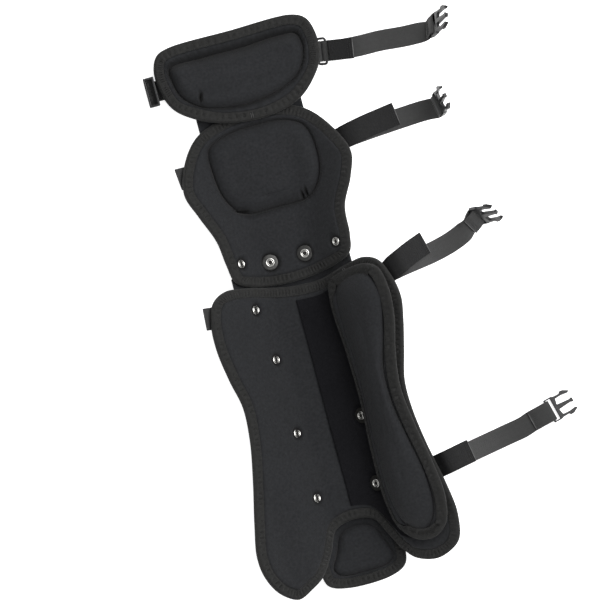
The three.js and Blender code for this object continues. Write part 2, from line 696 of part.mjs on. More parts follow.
// Rivets through the knee and shin, with the hole and the dimple that each one draws into its pad
const holes = { knee: [], shin: [] };
const seat = QUILT_THICK - DIMPLE.depth;
RIVETS.forEach(({ node, pad, x, y, washer }) => {
  const face = FACES[pad];
  const foot = footUnder(face, x, y, seat);
  const hole = RIVET.stem + GAP;
  const under = -HEAD_SEAT - RIVET.headRise;
  const over = QUILT_THICK + DIMPLE.flare;
  holes[pad].push(
    turned(face, foot, [
      { r: 0, n: under },
      { r: hole, n: under },
      { r: hole, n: seat },
      { r: DIMPLE.radius, n: seat },
      { r: DIMPLE.radius + DIMPLE.flare, n: over },
      { r: 0, n: over },
    ], DIMPLE.sides),
  );
  const tail = seat + GAP + (washer ? WASHER.thick + GAP : 0);
  const crest = tail + RIVET.tailRise;
  add(node, turned(face, foot, [
    { r: 0, n: -HEAD_SEAT - RIVET.headRise },
    { r: RIVET.head, n: -HEAD_SEAT - RIVET.rim },
    { r: RIVET.head, n: -HEAD_SEAT },
    { r: RIVET.stem, n: -HEAD_SEAT },
    { r: RIVET.stem, n: tail },
    { r: RIVET.tail, n: tail },
    { r: RIVET.lip, n: crest },
    { r: BORE.radius, n: crest - BORE.depth },
    { r: 0, n: crest - BORE.depth },
  ], DIMPLE.sides), NICKEL, 0.25, 1);
  if (washer) {
    add(washer, turned(face, foot, [
      { r: hole, n: seat + GAP },
      { r: WASHER.radius, n: seat + GAP },
      { r: WASHER.radius, n: seat + GAP + WASHER.thick },
      { r: hole, n: seat + GAP + WASHER.thick },
      { r: hole, n: seat + GAP },
    ], WASHER.sides), NICKEL, 0.3, 1);
  }
});
add("knee_pad", cut(kneePad, holes.knee), BLACK.cloth);
add("shin_pad", cut(shinPad, holes.shin), BLACK.cloth);

// The loop-pile strip: the right half of the shin's inner grid, one layer above it
function stripSolid() {
  const { across, along } = SHIN_GRID;
  const columns = across / 2;
  const patch = (n) => {
    const ring = shinInner.map((foot) => ({ ...foot, n: QUILT_THICK + n }));
    const { inside } = fillRing(shinFace, ring, across, along, 0);
    const rows = [];
    for (let j = 0; j <= along; j += 1) {
      for (let i = columns; i < across; i += 1) {
        if (j === 0) rows.push(raise(shinFace, ring[i]));
        else if (j === along) rows.push(raise(shinFace, ring[2 * across + along - i]));
        else rows.push(inside[(j - 1) * (across - 1) + i - 1]);
      }
    }
    return rows;
  };
  const low = patch(GAP);
  const high = patch(GAP + PILE_THICK);
  return sheetBetween(low, high, columns, along + 1);
}

// A closed sheet between two grids of points with the same rows and columns.
function sheetBetween(low, high, columns, rows) {
  const points = [...low, ...high];
  const top = low.length;
  const triangles = [];
  const at = (i, j) => j * columns + i;
  for (let j = 0; j < rows - 1; j += 1) {
    for (let i = 0; i < columns - 1; i += 1) {
      const [a, b, c, d] = [at(i, j), at(i + 1, j), at(i + 1, j + 1), at(i, j + 1)];
      triangles.push([a, b, c], [a, c, d], [top + a, top + c, top + b], [top + a, top + d, top + c]);
    }
  }
  const rim = [];
  for (let i = 0; i < columns - 1; i += 1) rim.push(at(i, 0));
  for (let j = 0; j < rows - 1; j += 1) rim.push(at(columns - 1, j));
  for (let i = columns - 1; i > 0; i -= 1) rim.push(at(i, rows - 1));
  for (let j = rows - 1; j > 0; j -= 1) rim.push(at(0, j));
  rim.forEach((a, k) => {
    const b = rim[(k + 1) % rim.length];
    triangles.push([a, top + b, b], [a, top + a, top + b]);
  });
  return solid(points, triangles);
}

add("loop_strip", cut(stripSolid(), holes.shin.slice(4)), BLACK.pile, 1);

// The cloth links that lie behind the two joints
function linkSolid({ left, right, bottom, top }) {
  const columns = 10;
  const rows = 4;
  const grid = (n) => {
    const points = [];
    for (let j = 0; j < rows; j += 1) {
      for (let i = 0; i < columns; i += 1) {
        const x = lerp(left, right, i / (columns - 1));
        const y = lerp(bottom, top, j / (rows - 1));
        points.push(raise(linkFace, { x, y, n }));
      }
    }
    return points;
  };
  return sheetBetween(grid(0), grid(LINK_THICK), columns, rows);
}
LINKS.forEach((link) => add(link.node, linkSolid(link), BLACK.cloth));

// Buckle halves: the pronged half lies along its own u axis with its bar at the origin
function pronged() {
  const half = BUCKLE.width / 2;
  const front = BUCKLE.bar / 2 + BUCKLE.slot + BUCKLE.crossbar;
  const tip = front + BUCKLE.arm;
  const arm = [
    { u: front - 2.5, v: half },
    { u: front, v: half - 1.2 },
    { u: front + 8, v: half - 1.6 },
    { u: front + 9.5, v: half + 0.8 },
    { u: front + 14, v: half + 0.4 },
    { u: tip, v: half - 3.6 },
    { u: tip - 3, v: half - 5.4 },
    { u: front + 10, v: half - 4.2 },
    { u: front + 1.5, v: half - 4.6 },
    { u: front, v: 3.2 },
    { u: tip - 4.5, v: 1.8 },
    { u: tip - 3, v: 3 },
    { u: tip - 1, v: 2.2 },
  ];
  const shape = new THREE.Shape();
  shape.moveTo(-BUCKLE.bar / 2, half);
  arm.forEach(({ u, v }) => shape.lineTo(u, v));
  arm.reverse().forEach(({ u, v }) => shape.lineTo(u, -v));
  shape.lineTo(-BUCKLE.bar / 2, -half);
  const slot = new THREE.Path();
  const inner = half - 1.6;
  slot.moveTo(BUCKLE.bar / 2, inner);
  slot.lineTo(BUCKLE.bar / 2, -inner);
  slot.lineTo(BUCKLE.bar / 2 + BUCKLE.slot, -inner);
  slot.lineTo(BUCKLE.bar / 2 + BUCKLE.slot, inner);
  shape.holes.push(slot);
  const geometry = new THREE.ExtrudeGeometry(shape, { depth: BUCKLE.thick, bevelEnabled: false });
  return geometry.translate(0, 0, -BUCKLE.thick / 2);
}

// Place of a buckle: its bar's middle, turned by yaw, nosed up by pitch, tipped sideways by roll.
function pose({ x, y, z, yaw, pitch, roll }) {
  const turn = new THREE.Euler(degToRad(roll), degToRad(-pitch), degToRad(yaw), "ZYX");
  return new THREE.Matrix4().makeRotationFromEuler(turn).setPosition(x, y, z);
}

// The webbing's way under a buckle's bar and back on top of itself, in the buckle's frame turned about the bar.
function barLoop(place, { back, hinge }) {
  const out = BUCKLE.thick / 2 + GAP + WEB_THICK / 2;
  const loop = place.clone().multiply(new THREE.Matrix4().makeRotationY(degToRad(hinge)));
  const rows = [
    { u: -back, w: -TAB_LIFT / 2 },
    { u: -back / 2.4, w: -out },
    { u: -GAP, w: -out - GAP },
    { u: out, w: 2 * GAP - out },
    { u: out + GAP, w: 0 },
    { u: out, w: out - 2 * GAP },
    { u: -GAP, w: out + GAP },
    { u: -back / 2.4, w: out },
    { u: -back, w: TAB_LIFT / 2 },
  ];
  const side = new THREE.Vector3(0, 1, 0).transformDirection(loop);
  return rows.map(({ u, w }) => ({ at: new THREE.Vector3(u, 0, w).applyMatrix4(loop), side }));
}

// The hook-faced end that is folded back on a strap: it lies one layer above it and swings to one side.
function tabRows(rows, { from, to, swing }) {
  const frameAt = framesOf(rows);
  const samples = 5;
  const tab = [];
  for (let i = 0; i <= samples; i += 1) {
    const share = i / samples;
    const { at, side, up } = frameAt(lerp(from, to, share) / (rows.length - 1));
    const shifted = at.clone().addScaledVector(up, TAB_LIFT).addScaledVector(side, swing * share);
    tab.push({ at: shifted, side });
  }
  return tab;
}

STRAPS.forEach(({ name, pad, sewn, free, buckle, fold, tab }) => {
  const place = pose(buckle);
  const rows = [...sewnRows(FACES[pad], sewn), ...levelRows(vectors(free)), ...barLoop(place, fold)];
  add(name + "_strap", ribbon(rows, WEB_WIDTH, WEB_THICK, STRAP_STEPS), BLACK.web);
  add(name + "_hook_tab", ribbon(tabRows(rows, tab), tab.width, WEB_THICK, TAB_STEPS), BLACK.hook);
  add(name + "_buckle", pronged().applyMatrix4(place), BLACK.plastic, 0.4);
});

// Thigh strap: through a plastic ring, with its hook-faced end folded back on top
const ringPlace = pose(THIGH.ring);
const ringBar = RING.wide / 2 - RING.bar / 2;
const ringClear = RING.thick / 2 + WEB_THICK / 2 + 2 * GAP;
const barClear = RING.bar / 2 + WEB_THICK / 2 + 2 * GAP;

function rectangle(Kind, long, wide) {
  const path = new Kind();
  path.moveTo(-wide / 2, -long / 2);
  path.lineTo(wide / 2, -long / 2);
  path.lineTo(wide / 2, long / 2);
  path.lineTo(-wide / 2, long / 2);
  return path;
}

function ringSolid() {
  const shape = rectangle(THREE.Shape, RING.long, RING.wide);
  shape.holes.push(rectangle(THREE.Path, RING.long - 2 * RING.bar, RING.wide - 2 * RING.bar));
  const geometry = new THREE.ExtrudeGeometry(shape, { depth: RING.thick, bevelEnabled: false });
  return geometry.translate(0, 0, -RING.thick / 2).applyMatrix4(ringPlace);
}
add("thigh_ring", ringSolid(), BLACK.plastic, 0.4);

function ringRows(rows) {
  const side = new THREE.Vector3(0, 1, 0).transformDirection(ringPlace);
  return rows.map(({ u, w }) => ({ at: new THREE.Vector3(u, 0, w).applyMatrix4(ringPlace), side }));
}

// Rows through the ring from over a bar to under it; `way` is 1 for the right bar and -1 for the left.
function roundBar(way) {
  const inside = way * (ringBar - barClear);
  return [
    { u: way * ringBar, w: ringClear + GAP },
    { u: inside, w: ringClear - 2 * GAP },
    { u: inside - way * GAP, w: 0 },
    { u: inside, w: 2 * GAP - ringClear },
    { u: way * ringBar, w: -ringClear - GAP },
  ];
}

const thighRows = [
  ...ringRows([
    { u: ringBar + THIGH.fold, w: ringClear },
    { u: ringBar + THIGH.fold / 2, w: ringClear },
    ...roundBar(1),
    { u: ringBar + THIGH.fold / 2, w: -ringClear },
  ]),
  ...levelRows(vectors(THIGH.free)),
  ...barLoop(pose(THIGH.buckle), THIGH.loop),
];
add("thigh_strap", ribbon(thighRows, WEB_WIDTH, WEB_THICK, STRAP_STEPS + RING_STEPS), BLACK.web);
add("thigh_buckle", pronged().applyMatrix4(pose(THIGH.buckle)), BLACK.plastic, 0.4);
const hookRows = ringRows([
  { u: ringBar + RING.bar, w: ringClear + TAB_LIFT },
  { u: ringBar + THIGH.fold, w: ringClear + TAB_LIFT },
]);
add("thigh_hook_tab", ribbon(hookRows, WEB_WIDTH, WEB_THICK, 2), BLACK.hook);
const ringTab = [...sewnRows(thighFace, THIGH.ringTab), ...ringRows(roundBar(-1).reverse())];
add("thigh_ring_tab", ribbon(ringTab, WEB_WIDTH, WEB_THICK, 2 * TAB_STEPS), BLACK.web);

// The receiving buckle half stands at the thigh pad's left edge with its mouth up
function socketSolid() {
  const box = (deep, wide, tall, z) =>
    new THREE.BoxGeometry(deep, wide, tall).translate(0, 0, z + tall / 2);
  const foot = SOCKET.base + SOCKET.barRise;
  const hollow = SOCKET.deep - 2 * SOCKET.wall;
  const shell = box(SOCKET.deep, SOCKET.width, SOCKET.tall, foot);
  const mouth = box(hollow, SOCKET.width - 2 * SOCKET.wall, SOCKET.tall, foot + SOCKET.wall);
  const window = box(hollow, SOCKET.width + SOCKET.wall, SOCKET.tall / 2, foot + 2 * SOCKET.wall);
  const frame = box(SOCKET.base, SOCKET_BAR.wide + 2 * SOCKET_BAR.side, foot + SOCKET.wall / 2, 0);
  const slot = box(2 * SOCKET.base, SOCKET_BAR.wide, SOCKET.barRise, SOCKET.base);
  const { x, y, z } = SOCKET_AT;
  return cut(join(cut(shell, [mouth, window]), frame), [slot]).translate(x, y, z);
}
add("thigh_socket", socketSolid(), BLACK.plastic, 0.4);

function socketTabRows() {
  const { x, y, z } = SOCKET_AT;
  const clear = SOCKET.base / 2 + WEB_THICK / 2 + 2 * GAP;
  const middle = z + SOCKET.base / 2;
  const round = vectors([
    { x: x + 2 * clear, y, z: middle + clear + GAP },
    { x: x + clear / 2, y, z: middle + clear + 2 * GAP },
    { x: x - clear / 2, y, z: middle + clear + 2 * GAP },
    { x: x - clear - GAP, y, z: middle + clear / 2 },
  ]);
  const side = new THREE.Vector3(0, 1, 0);
  return [...sewnRows(thighFace, THIGH.socketTab), ...round.map((at) => ({ at, side }))];
}
add("thigh_socket_tab", ribbon(socketTabRows(), WEB_WIDTH, WEB_THICK, 2 * TAB_STEPS), BLACK.web);

// Webbing ends that show beyond the left edges
ANCHORS.forEach(({ node, pad, rows }) => {
  add(node, ribbon(sewnRows(FACES[pad], rows), ANCHOR_WIDTH, WEB_THICK, TAB_STEPS), BLACK.web);
});

export default guard;
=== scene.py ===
# %% [markdown]
# # An umpire's leg guard, lined side up
# The guard covers the leg from the thigh to the top of the foot: a thigh pad, a knee cup, a long shin trough
# with a peel-off wing pad, and an instep flap, joined by cloth and held on with four webbing straps.
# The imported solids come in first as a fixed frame. Each soft piece below is a finer surface laid in that
# frame, so the size and the place of everything stay those of the solids.

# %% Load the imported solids
from math import radians

import bpy
import numpy as np
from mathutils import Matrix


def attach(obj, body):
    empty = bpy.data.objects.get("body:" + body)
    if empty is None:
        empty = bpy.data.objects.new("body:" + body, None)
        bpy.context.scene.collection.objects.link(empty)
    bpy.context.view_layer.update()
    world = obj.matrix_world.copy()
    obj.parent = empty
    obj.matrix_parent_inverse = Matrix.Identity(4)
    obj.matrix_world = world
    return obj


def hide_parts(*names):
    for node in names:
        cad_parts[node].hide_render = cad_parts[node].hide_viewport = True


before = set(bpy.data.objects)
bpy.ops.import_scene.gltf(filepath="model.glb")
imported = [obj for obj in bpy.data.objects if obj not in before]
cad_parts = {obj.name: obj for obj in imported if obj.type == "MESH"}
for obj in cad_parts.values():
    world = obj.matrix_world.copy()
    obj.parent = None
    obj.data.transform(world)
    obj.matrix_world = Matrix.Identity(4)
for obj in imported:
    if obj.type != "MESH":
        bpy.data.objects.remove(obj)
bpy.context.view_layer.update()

# %% [markdown]
# ## Camera, floor and light
# The guard lies leaning 15 degrees to one side and is seen from straight above. A long lens far away gives
# that flat view. The floor is pale and plain, and glows a little, which takes the shadows off it. The light
# is a soft sky with one large lamp high on the strap side and a faint one opposite, so that the flanks which
# face away fall into shade and black cloth shows its forms.

# %% Camera
VIEW_CENTRE = (0.0047, 0.1191)
VIEW_TURN = -15
VIEW_SPAN = 0.72
VIEW_HEIGHT = 20.0
PAD_HEIGHT = 0.04

lens = bpy.data.cameras.new("overhead_camera")
lens.lens = lens.sensor_width * (VIEW_HEIGHT - PAD_HEIGHT) / VIEW_SPAN
camera = bpy.data.objects.new("overhead_camera", lens)
camera.location = (*VIEW_CENTRE, VIEW_HEIGHT)
camera.rotation_euler = (0, 0, radians(VIEW_TURN))
bpy.context.scene.collection.objects.link(camera)
bpy.context.scene.camera = camera
print("lens:", round(lens.lens), "mm")

# %% Node helpers
def add_node(tree, kind, inputs, **settings):
    """Adds a node, sets its properties, and fills inputs by name or number with values or links."""
    node = tree.nodes.new(kind)
    for key, value in settings.items():
        setattr(node, key, value)
    for socket, value in inputs.items():
        if isinstance(value, bpy.types.NodeSocket):
            tree.links.new(value, node.inputs[socket])
        else:
            node.inputs[socket].default_value = value
    return node


def sums(tree, operation, *values):
    """One Math node; its values are numbers or sockets."""
    return add_node(tree, "ShaderNodeMath", dict(enumerate(values)), operation=operation).outputs[0]


# %% Light
def soft_lamp(name, place, turn, size, power):
    """A square lamp of `size` metres, turned by Euler angles in degrees from facing straight down."""
    lamp = bpy.data.lights.new(name, "AREA")
    lamp.size = size
    lamp.energy = power
    shown = bpy.data.objects.new(name, lamp)
    shown.location = place
    shown.rotation_euler = [radians(angle) for angle in turn]
    bpy.context.scene.collection.objects.link(shown)


SKY_STRENGTH = 0.6
SKY_TONES = ((0.0, 0.6), (0.45, 1.0), (0.8, 0.95), (1.0, 0.6))

world = bpy.data.worlds.new("studio_sky")
world.use_nodes = True
sky = world.node_tree
looking = add_node(sky, "ShaderNodeTexCoord", {}).outputs["Generated"]
way_up = add_node(sky, "ShaderNodeSeparateXYZ", {0: looking})
tones = add_node(sky, "ShaderNodeValToRGB", {0: way_up.outputs["Z"]})
while len(tones.color_ramp.elements) < len(SKY_TONES):
    tones.color_ramp.elements.new(0.5)
for element, (height, grey) in zip(tones.color_ramp.elements, SKY_TONES):
    element.position = height
    element.color = (grey, grey, grey, 1)
sky.links.new(tones.outputs[0], sky.nodes["Background"].inputs["Color"])
sky.nodes["Background"].inputs["Strength"].default_value = SKY_STRENGTH
bpy.context.scene.world = world
bpy.context.scene.view_settings.view_transform = "Standard"
soft_lamp("key_lamp", (1.4, 0.6, 2.3), (-12, 31, 0), 2.4, 100)
soft_lamp("fill_lamp", (-1.5, -0.6, 1.8), (22, -42, 0), 1.6, 3)

# %% [markdown]
# ## From arrays to meshes
# Every new piece is a grid of points worked out with numpy. These helpers turn a grid into faces, put the
# points into a mesh in metres, and hand the finished object to the frame. A closed mesh is turned so that its
# faces point outwards, which its signed volume tells.

# %% Grid helpers
MM = 0.001


def unit(ways):
    """Ways made 1 long."""
    return ways / np.linalg.norm(ways, axis=-1, keepdims=True)


def squared_off(wave, power):
    """A sine or cosine bent for a superellipse: its size is raised to 2/power and its sign is kept."""
    return np.sign(wave) * np.abs(wave) ** (2 / power)


def grid_faces(grid):
    """The four corners of each cell of a grid that holds point numbers or UV pairs."""
    corners = [grid[:-1, :-1], grid[:-1, 1:], grid[1:, 1:], grid[1:, :-1]]
    return np.stack(corners, axis=2).reshape(-1, 4, *grid.shape[2:])


def numbered(rows, columns, rows_close=False, columns_close=False, first=0):
    """Point numbers of a grid; a closing direction repeats its first row or column at the end."""
    index = first + np.arange(rows * columns).reshape(rows, columns)
    if rows_close:
        index = np.vstack([index, index[:1]])
    if columns_close:
        index = np.hstack([index, index[:, :1]])
    return index


def volume_sign(points, faces):
    """Sign of a closed mesh's volume: the sum of the faces' signed tetrahedra from the origin."""
    a, b, c, d = (points[faces[:, k]] for k in range(4))
    return np.sign(sum(np.einsum("ij,ij", a, np.cross(one, two)) for one, two in ((b, c), (c, d))))


# %% Mesh helper
def put_piece(name, points, faces, corners, materials, caps=(), inner=None, painted_shade=None, nodes=()):
    """Makes an object of points in millimetres.

    `corners` holds a UV pair in metres for each corner of the four-cornered faces, `caps` adds end faces of
    any size, and `inner` numbers the material of each face. The per-point shade values are painted shade:
    they tell how far each point's colour is darkened. The object replaces the named CAD nodes.
    """
    points = points.reshape(-1, 3)
    if volume_sign(points, faces) < 0:
        faces = faces[:, ::-1]
        corners = corners[:, ::-1]
        caps = [cap[::-1] for cap in caps]
    mesh = bpy.data.meshes.new(name)
    mesh.from_pydata((points * MM).tolist(), [], faces.tolist() + [list(cap) for cap in caps])
    layer = mesh.uv_layers.new(name="surface")
    values = np.zeros((len(mesh.loops), 2), np.float32)
    values[: faces.size] = corners.reshape(-1, 2)
    layer.data.foreach_set("uv", values.ravel())
    mesh.polygons.foreach_set("use_smooth", np.ones(len(mesh.polygons), bool))
    for material in materials:
        mesh.materials.append(material)
    if inner is not None:
        mesh.polygons.foreach_set("material_index", inner.astype(np.int32))
    if painted_shade is not None:
        mesh.attributes.new("painted_shade", "FLOAT", "POINT").data.foreach_set("value", painted_shade.astype(np.float32))
    mesh.update()
    piece = bpy.data.objects.new(name, mesh)
    bpy.context.scene.collection.objects.link(piece)
    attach(piece, "root")
    if nodes:
        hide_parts(*nodes)
    return piece


# %% Floor
FLOOR_REACH = 4.0

floor_points = FLOOR_REACH * np.array([[-1, -1, 0], [1, -1, 0], [1, 1, 0], [-1, 1, 0]])
floor_mesh = bpy.data.meshes.new("studio_floor")
floor_mesh.from_pydata(floor_points.tolist(), [], [[0, 1, 2, 3]])
floor = bpy.data.objects.new("studio_floor", floor_mesh)
bpy.context.scene.collection.objects.link(floor)
print("floor:", floor_points[:, :2].min(), "to", floor_points[:, :2].max(), "m")

# %% [markdown]
# ## Finishes
# The cloths are a knitted lining, a plain outer cover, edge tape, loop pile, hook tape and webbing, all black
# and told apart by their weave and gloss. The hard pieces are moulded plastic, bright nickel and duller
# washers, and a dark metal that is painted shade in the rivets' grooves and bores and on the washers beside
# the wing pad. Patterns that several of them share are node groups: a knit, a herringbone weave, a field of
# tufts, and slow wear. The cloths read their UV map in metres, so a pattern keeps its true size.

# %% Group helper
def new_group(name, inputs, outputs):
    """An empty node group with named float inputs after a Vector, and named float outputs."""
    tree = bpy.data.node_groups.new(name, "ShaderNodeTree")
    tree.interface.new_socket("Vector", in_out="INPUT", socket_type="NodeSocketVector")
    for socket in inputs:
        tree.interface.new_socket(socket, in_out="INPUT", socket_type="NodeSocketFloat")
    for socket in outputs:
        tree.interface.new_socket(socket, in_out="OUTPUT", socket_type="NodeSocketFloat")
    return tree, tree.nodes.new("NodeGroupInput").outputs, tree.nodes.new("NodeGroupOutput").inputs


# %% Knit group
TURN = 2 * np.pi
HALF_PERIOD = 0.5
WAVE_SHARE = 0.25
WAVE_MIDDLE = 0.5

knit, given, put = new_group("knit_rows", ["Wale"], ["Height"])
place = add_node(knit, "ShaderNodeSeparateXYZ", {0: given["Vector"]}).outputs
wales = sums(knit, "DIVIDE", place[0], given["Wale"])
courses = sums(knit, "DIVIDE", place[1], given["Wale"])
ridge = sums(knit, "COSINE", sums(knit, "MULTIPLY", wales, TURN))
slant = sums(knit, "PINGPONG", wales, HALF_PERIOD)
loops = sums(knit, "SINE", sums(knit, "MULTIPLY", sums(knit, "ADD", courses, slant), TURN))
both = sums(knit, "ADD", ridge, loops)
knit.links.new(sums(knit, "MULTIPLY_ADD", both, WAVE_SHARE, WAVE_MIDDLE), put["Height"])
print("group:", knit.name)

# %% Herringbone group
TWILL_SLANT = 3

weave, given, put = new_group("herringbone_rows", ["Pitch", "Band"], ["Height"])
place = add_node(weave, "ShaderNodeSeparateXYZ", {0: given["Vector"]}).outputs
picks = sums(weave, "DIVIDE", place[0], given["Pitch"])
bands = sums(weave, "PINGPONG", sums(weave, "DIVIDE", place[1], given["Band"]), HALF_PERIOD)
slanted = sums(weave, "ADD", picks, sums(weave, "MULTIPLY", bands, TWILL_SLANT))
twill = sums(weave, "SINE", sums(weave, "MULTIPLY", slanted, TURN))
ends = sums(weave, "COSINE", sums(weave, "MULTIPLY", sums(weave, "DIVIDE", place[1], given["Pitch"]), TURN))
both = sums(weave, "ADD", twill, ends)
weave.links.new(sums(weave, "MULTIPLY_ADD", both, WAVE_SHARE, WAVE_MIDDLE), put["Height"])
print("group:", weave.name)

# %% Tuft group
tufts, given, put = new_group("tuft_field", ["Tuft"], ["Height"])
scale = sums(tufts, "DIVIDE", 1, given["Tuft"])
cells = add_node(tufts, "ShaderNodeTexVoronoi", {"Vector": given["Vector"], "Scale": scale})
fray = add_node(tufts, "ShaderNodeTexNoise", {"Vector": given["Vector"], "Scale": scale, "Detail": 2})
rounded = sums(tufts, "SUBTRACT", 1, cells.outputs["Distance"])
tufts.links.new(sums(tufts, "MULTIPLY", rounded, fray.outputs[0]), put["Height"])
print("group:", tufts.name)

# %% Wear group
RUB_FINENESS = 9

wear, given, put = new_group("slow_wear", ["Patch", "Grain"], ["Fade", "Rub", "Fleck"])
scale = sums(wear, "DIVIDE", 1, given["Patch"])
patches = add_node(wear, "ShaderNodeTexNoise", {"Vector": given["Vector"], "Scale": scale, "Detail": 4})
finer = sums(wear, "MULTIPLY", scale, RUB_FINENESS)
fine = add_node(wear, "ShaderNodeTexNoise", {"Vector": given["Vector"], "Scale": finer})
grain = sums(wear, "DIVIDE", 1, given["Grain"])
specks = add_node(wear, "ShaderNodeTexNoise", {"Vector": given["Vector"], "Scale": grain, "Detail": 3})
wear.links.new(patches.outputs[0], put["Fade"])
wear.links.new(specks.outputs[0], put["Fleck"])
wear.links.new(fine.outputs[0], put["Rub"])
print("group:", wear.name)


# %% Material helper
CLOTH_GRAIN = 0.0032
# Painted shade: the lining goes towards this near black in its seams, beside the tape, round the rivets and
# in the tucks.
PAINTED_SHADE_TONE = (0.001, 0.001, 0.0011, 1)
RUB_SHARE = 0.3
WEAR_SHARE = 0.5
FADE_RANGE = (0.25, 0.75)


def finish_material(
        name, dark, light, pattern, sizes, bump, rough, patch=0.05, fleck=0.5, on_surface=True, **shader):
    """A Principled material whose colour runs from `dark` to `light` with the pattern's height and the wear.

    `pattern` is a node group and `sizes` its inputs in metres; `bump` is the pattern's depth in metres and
    `rough` the roughness of dark and of faded patches. `fleck` is the share of the fine mottling. A painted
    shade takes the colour towards near black, as far as the point attribute of painted shade tells. Other
    words set the shader's own sockets.
    """
    material = bpy.data.materials.new(name)
    material.use_nodes = True
    tree = material.node_tree
    surface = tree.nodes["Principled BSDF"]
    for socket, value in shader.items():
        surface.inputs[socket.replace("_", " ")].default_value = value
    solid = add_node(tree, "ShaderNodeTexCoord", {}).outputs["Object"]
    cloth = add_node(tree, "ShaderNodeUVMap", {}, uv_map="surface").outputs[0]
    drawn = add_node(tree, "ShaderNodeGroup", {}, node_tree=pattern)
    tree.links.new(cloth if on_surface else solid, drawn.inputs["Vector"])
    for socket, value in sizes.items():
        drawn.inputs[socket].default_value = value
    worn = add_node(tree, "ShaderNodeGroup", {}, node_tree=wear)
    tree.links.new(solid, worn.inputs["Vector"])
    worn.inputs["Patch"].default_value = patch
    worn.inputs["Grain"].default_value = CLOTH_GRAIN
    height = drawn.outputs["Height"]
    rubbed = sums(tree, "MULTIPLY", worn.outputs["Rub"], RUB_SHARE)
    fade = sums(tree, "MULTIPLY_ADD", worn.outputs["Fade"], 1 - RUB_SHARE, rubbed)
    flecks = sums(tree, "MULTIPLY_ADD", worn.outputs["Fleck"], fleck, -fleck / 2)
    faded = sums(tree, "MULTIPLY", fade, WEAR_SHARE)
    tone = sums(tree, "ADD", sums(tree, "MULTIPLY_ADD", height, 1 - WEAR_SHARE, faded), flecks)
    colour = add_node(tree, "ShaderNodeMix", {0: tone, 6: (*dark, 1), 7: (*light, 1)}, data_type="RGBA")
    # The point attribute of painted shade darkens the colour towards near black.
    shade_amount = add_node(tree, "ShaderNodeAttribute", {}, attribute_name="painted_shade").outputs["Fac"]
    tones = {0: shade_amount, 6: colour.outputs[2], 7: PAINTED_SHADE_TONE}
    shaded = add_node(tree, "ShaderNodeMix", tones, data_type="RGBA")
    tree.links.new(shaded.outputs[2], surface.inputs["Base Color"])
    ranged = add_node(tree, "ShaderNodeMapRange", dict(enumerate((fade, *FADE_RANGE, *rough))))
    tree.links.new(ranged.outputs[0], surface.inputs["Roughness"])
    relief = add_node(tree, "ShaderNodeBump", {"Height": height, "Distance": bump})
    tree.links.new(relief.outputs[0], surface.inputs["Normal"])
    return material


# %% Materials
lining = finish_material(
    "knitted_lining", (0.0085, 0.009, 0.0102), (0.0188, 0.0196, 0.0217), knit, {"Wale": 0.0011}, 0.00025,
    (0.8, 0.95), fleck=1.6, Sheen_Weight=0.06, Sheen_Roughness=0.5, Specular_IOR_Level=0.2)
cover = finish_material(
    "outer_cover", (0.015, 0.015, 0.016), (0.026, 0.026, 0.028), tufts, {"Tuft": 0.0014}, 0.00015,
    (0.45, 0.6))
tape = finish_material(
    "bound_edge_tape", (0.0084, 0.0084, 0.0083), (0.0226, 0.0226, 0.0219), weave,
    {"Pitch": 0.0009, "Band": 0.0036}, 0.00022, (0.75, 0.92), fleck=1.2, Sheen_Weight=0.06,
    Sheen_Roughness=0.5, Specular_IOR_Level=0.2)
thread = finish_material(
    "sewing_thread", (0.006, 0.006, 0.006), (0.016, 0.016, 0.016), weave,
    {"Pitch": 0.0005, "Band": 0.001}, 0.00005, (0.5, 0.65), Specular_IOR_Level=0.3)
# Lighter grey for the melted ends and the tape joins: the beads are real shape, their lighter grey is partly
# a painted highlight.
sealed_and_highlit = finish_material(
    "sealed_end_painted_highlight", (0.05, 0.05, 0.05), (0.12, 0.12, 0.12), tufts, {"Tuft": 0.0008}, 0.0001,
    (0.45, 0.6))
pile = finish_material(
    "loop_pile", (0.0038, 0.0038, 0.0046), (0.0115, 0.0115, 0.0132), tufts, {"Tuft": 0.0011}, 0.0006,
    (0.95, 1.0), Specular_IOR_Level=0.08)
hooks = finish_material(
    "hook_tape", (0.003, 0.003, 0.0033), (0.0138, 0.0138, 0.0142), tufts, {"Tuft": 0.0019}, 0.0007,
    (0.7, 0.85), Specular_IOR_Level=0.2)
webbing = finish_material(
    "woven_webbing", (0.0125, 0.0125, 0.0125), (0.034, 0.034, 0.034), weave,
    {"Pitch": 0.0012, "Band": 0.005}, 0.0003, (0.55, 0.72), Sheen_Weight=0.08, Specular_IOR_Level=0.3)
plastic = finish_material(
    "moulded_plastic", (0.009, 0.009, 0.0095), (0.019, 0.019, 0.02), tufts, {"Tuft": 0.0012}, 0.00004,
    (0.22, 0.36), on_surface=False, Specular_IOR_Level=0.4)
nickel = finish_material(
    "nickelled_brass", (0.46, 0.455, 0.435), (0.8, 0.79, 0.765), tufts, {"Tuft": 0.003}, 0.00006,
    (0.16, 0.3), patch=0.006, on_surface=False, Metallic=1.0)
dull_nickel = finish_material(
    "dulled_washer", (0.03, 0.03, 0.029), (0.105, 0.105, 0.102), tufts, {"Tuft": 0.002}, 0.00008,
    (0.34, 0.5), patch=0.008, on_surface=False, Metallic=1.0)
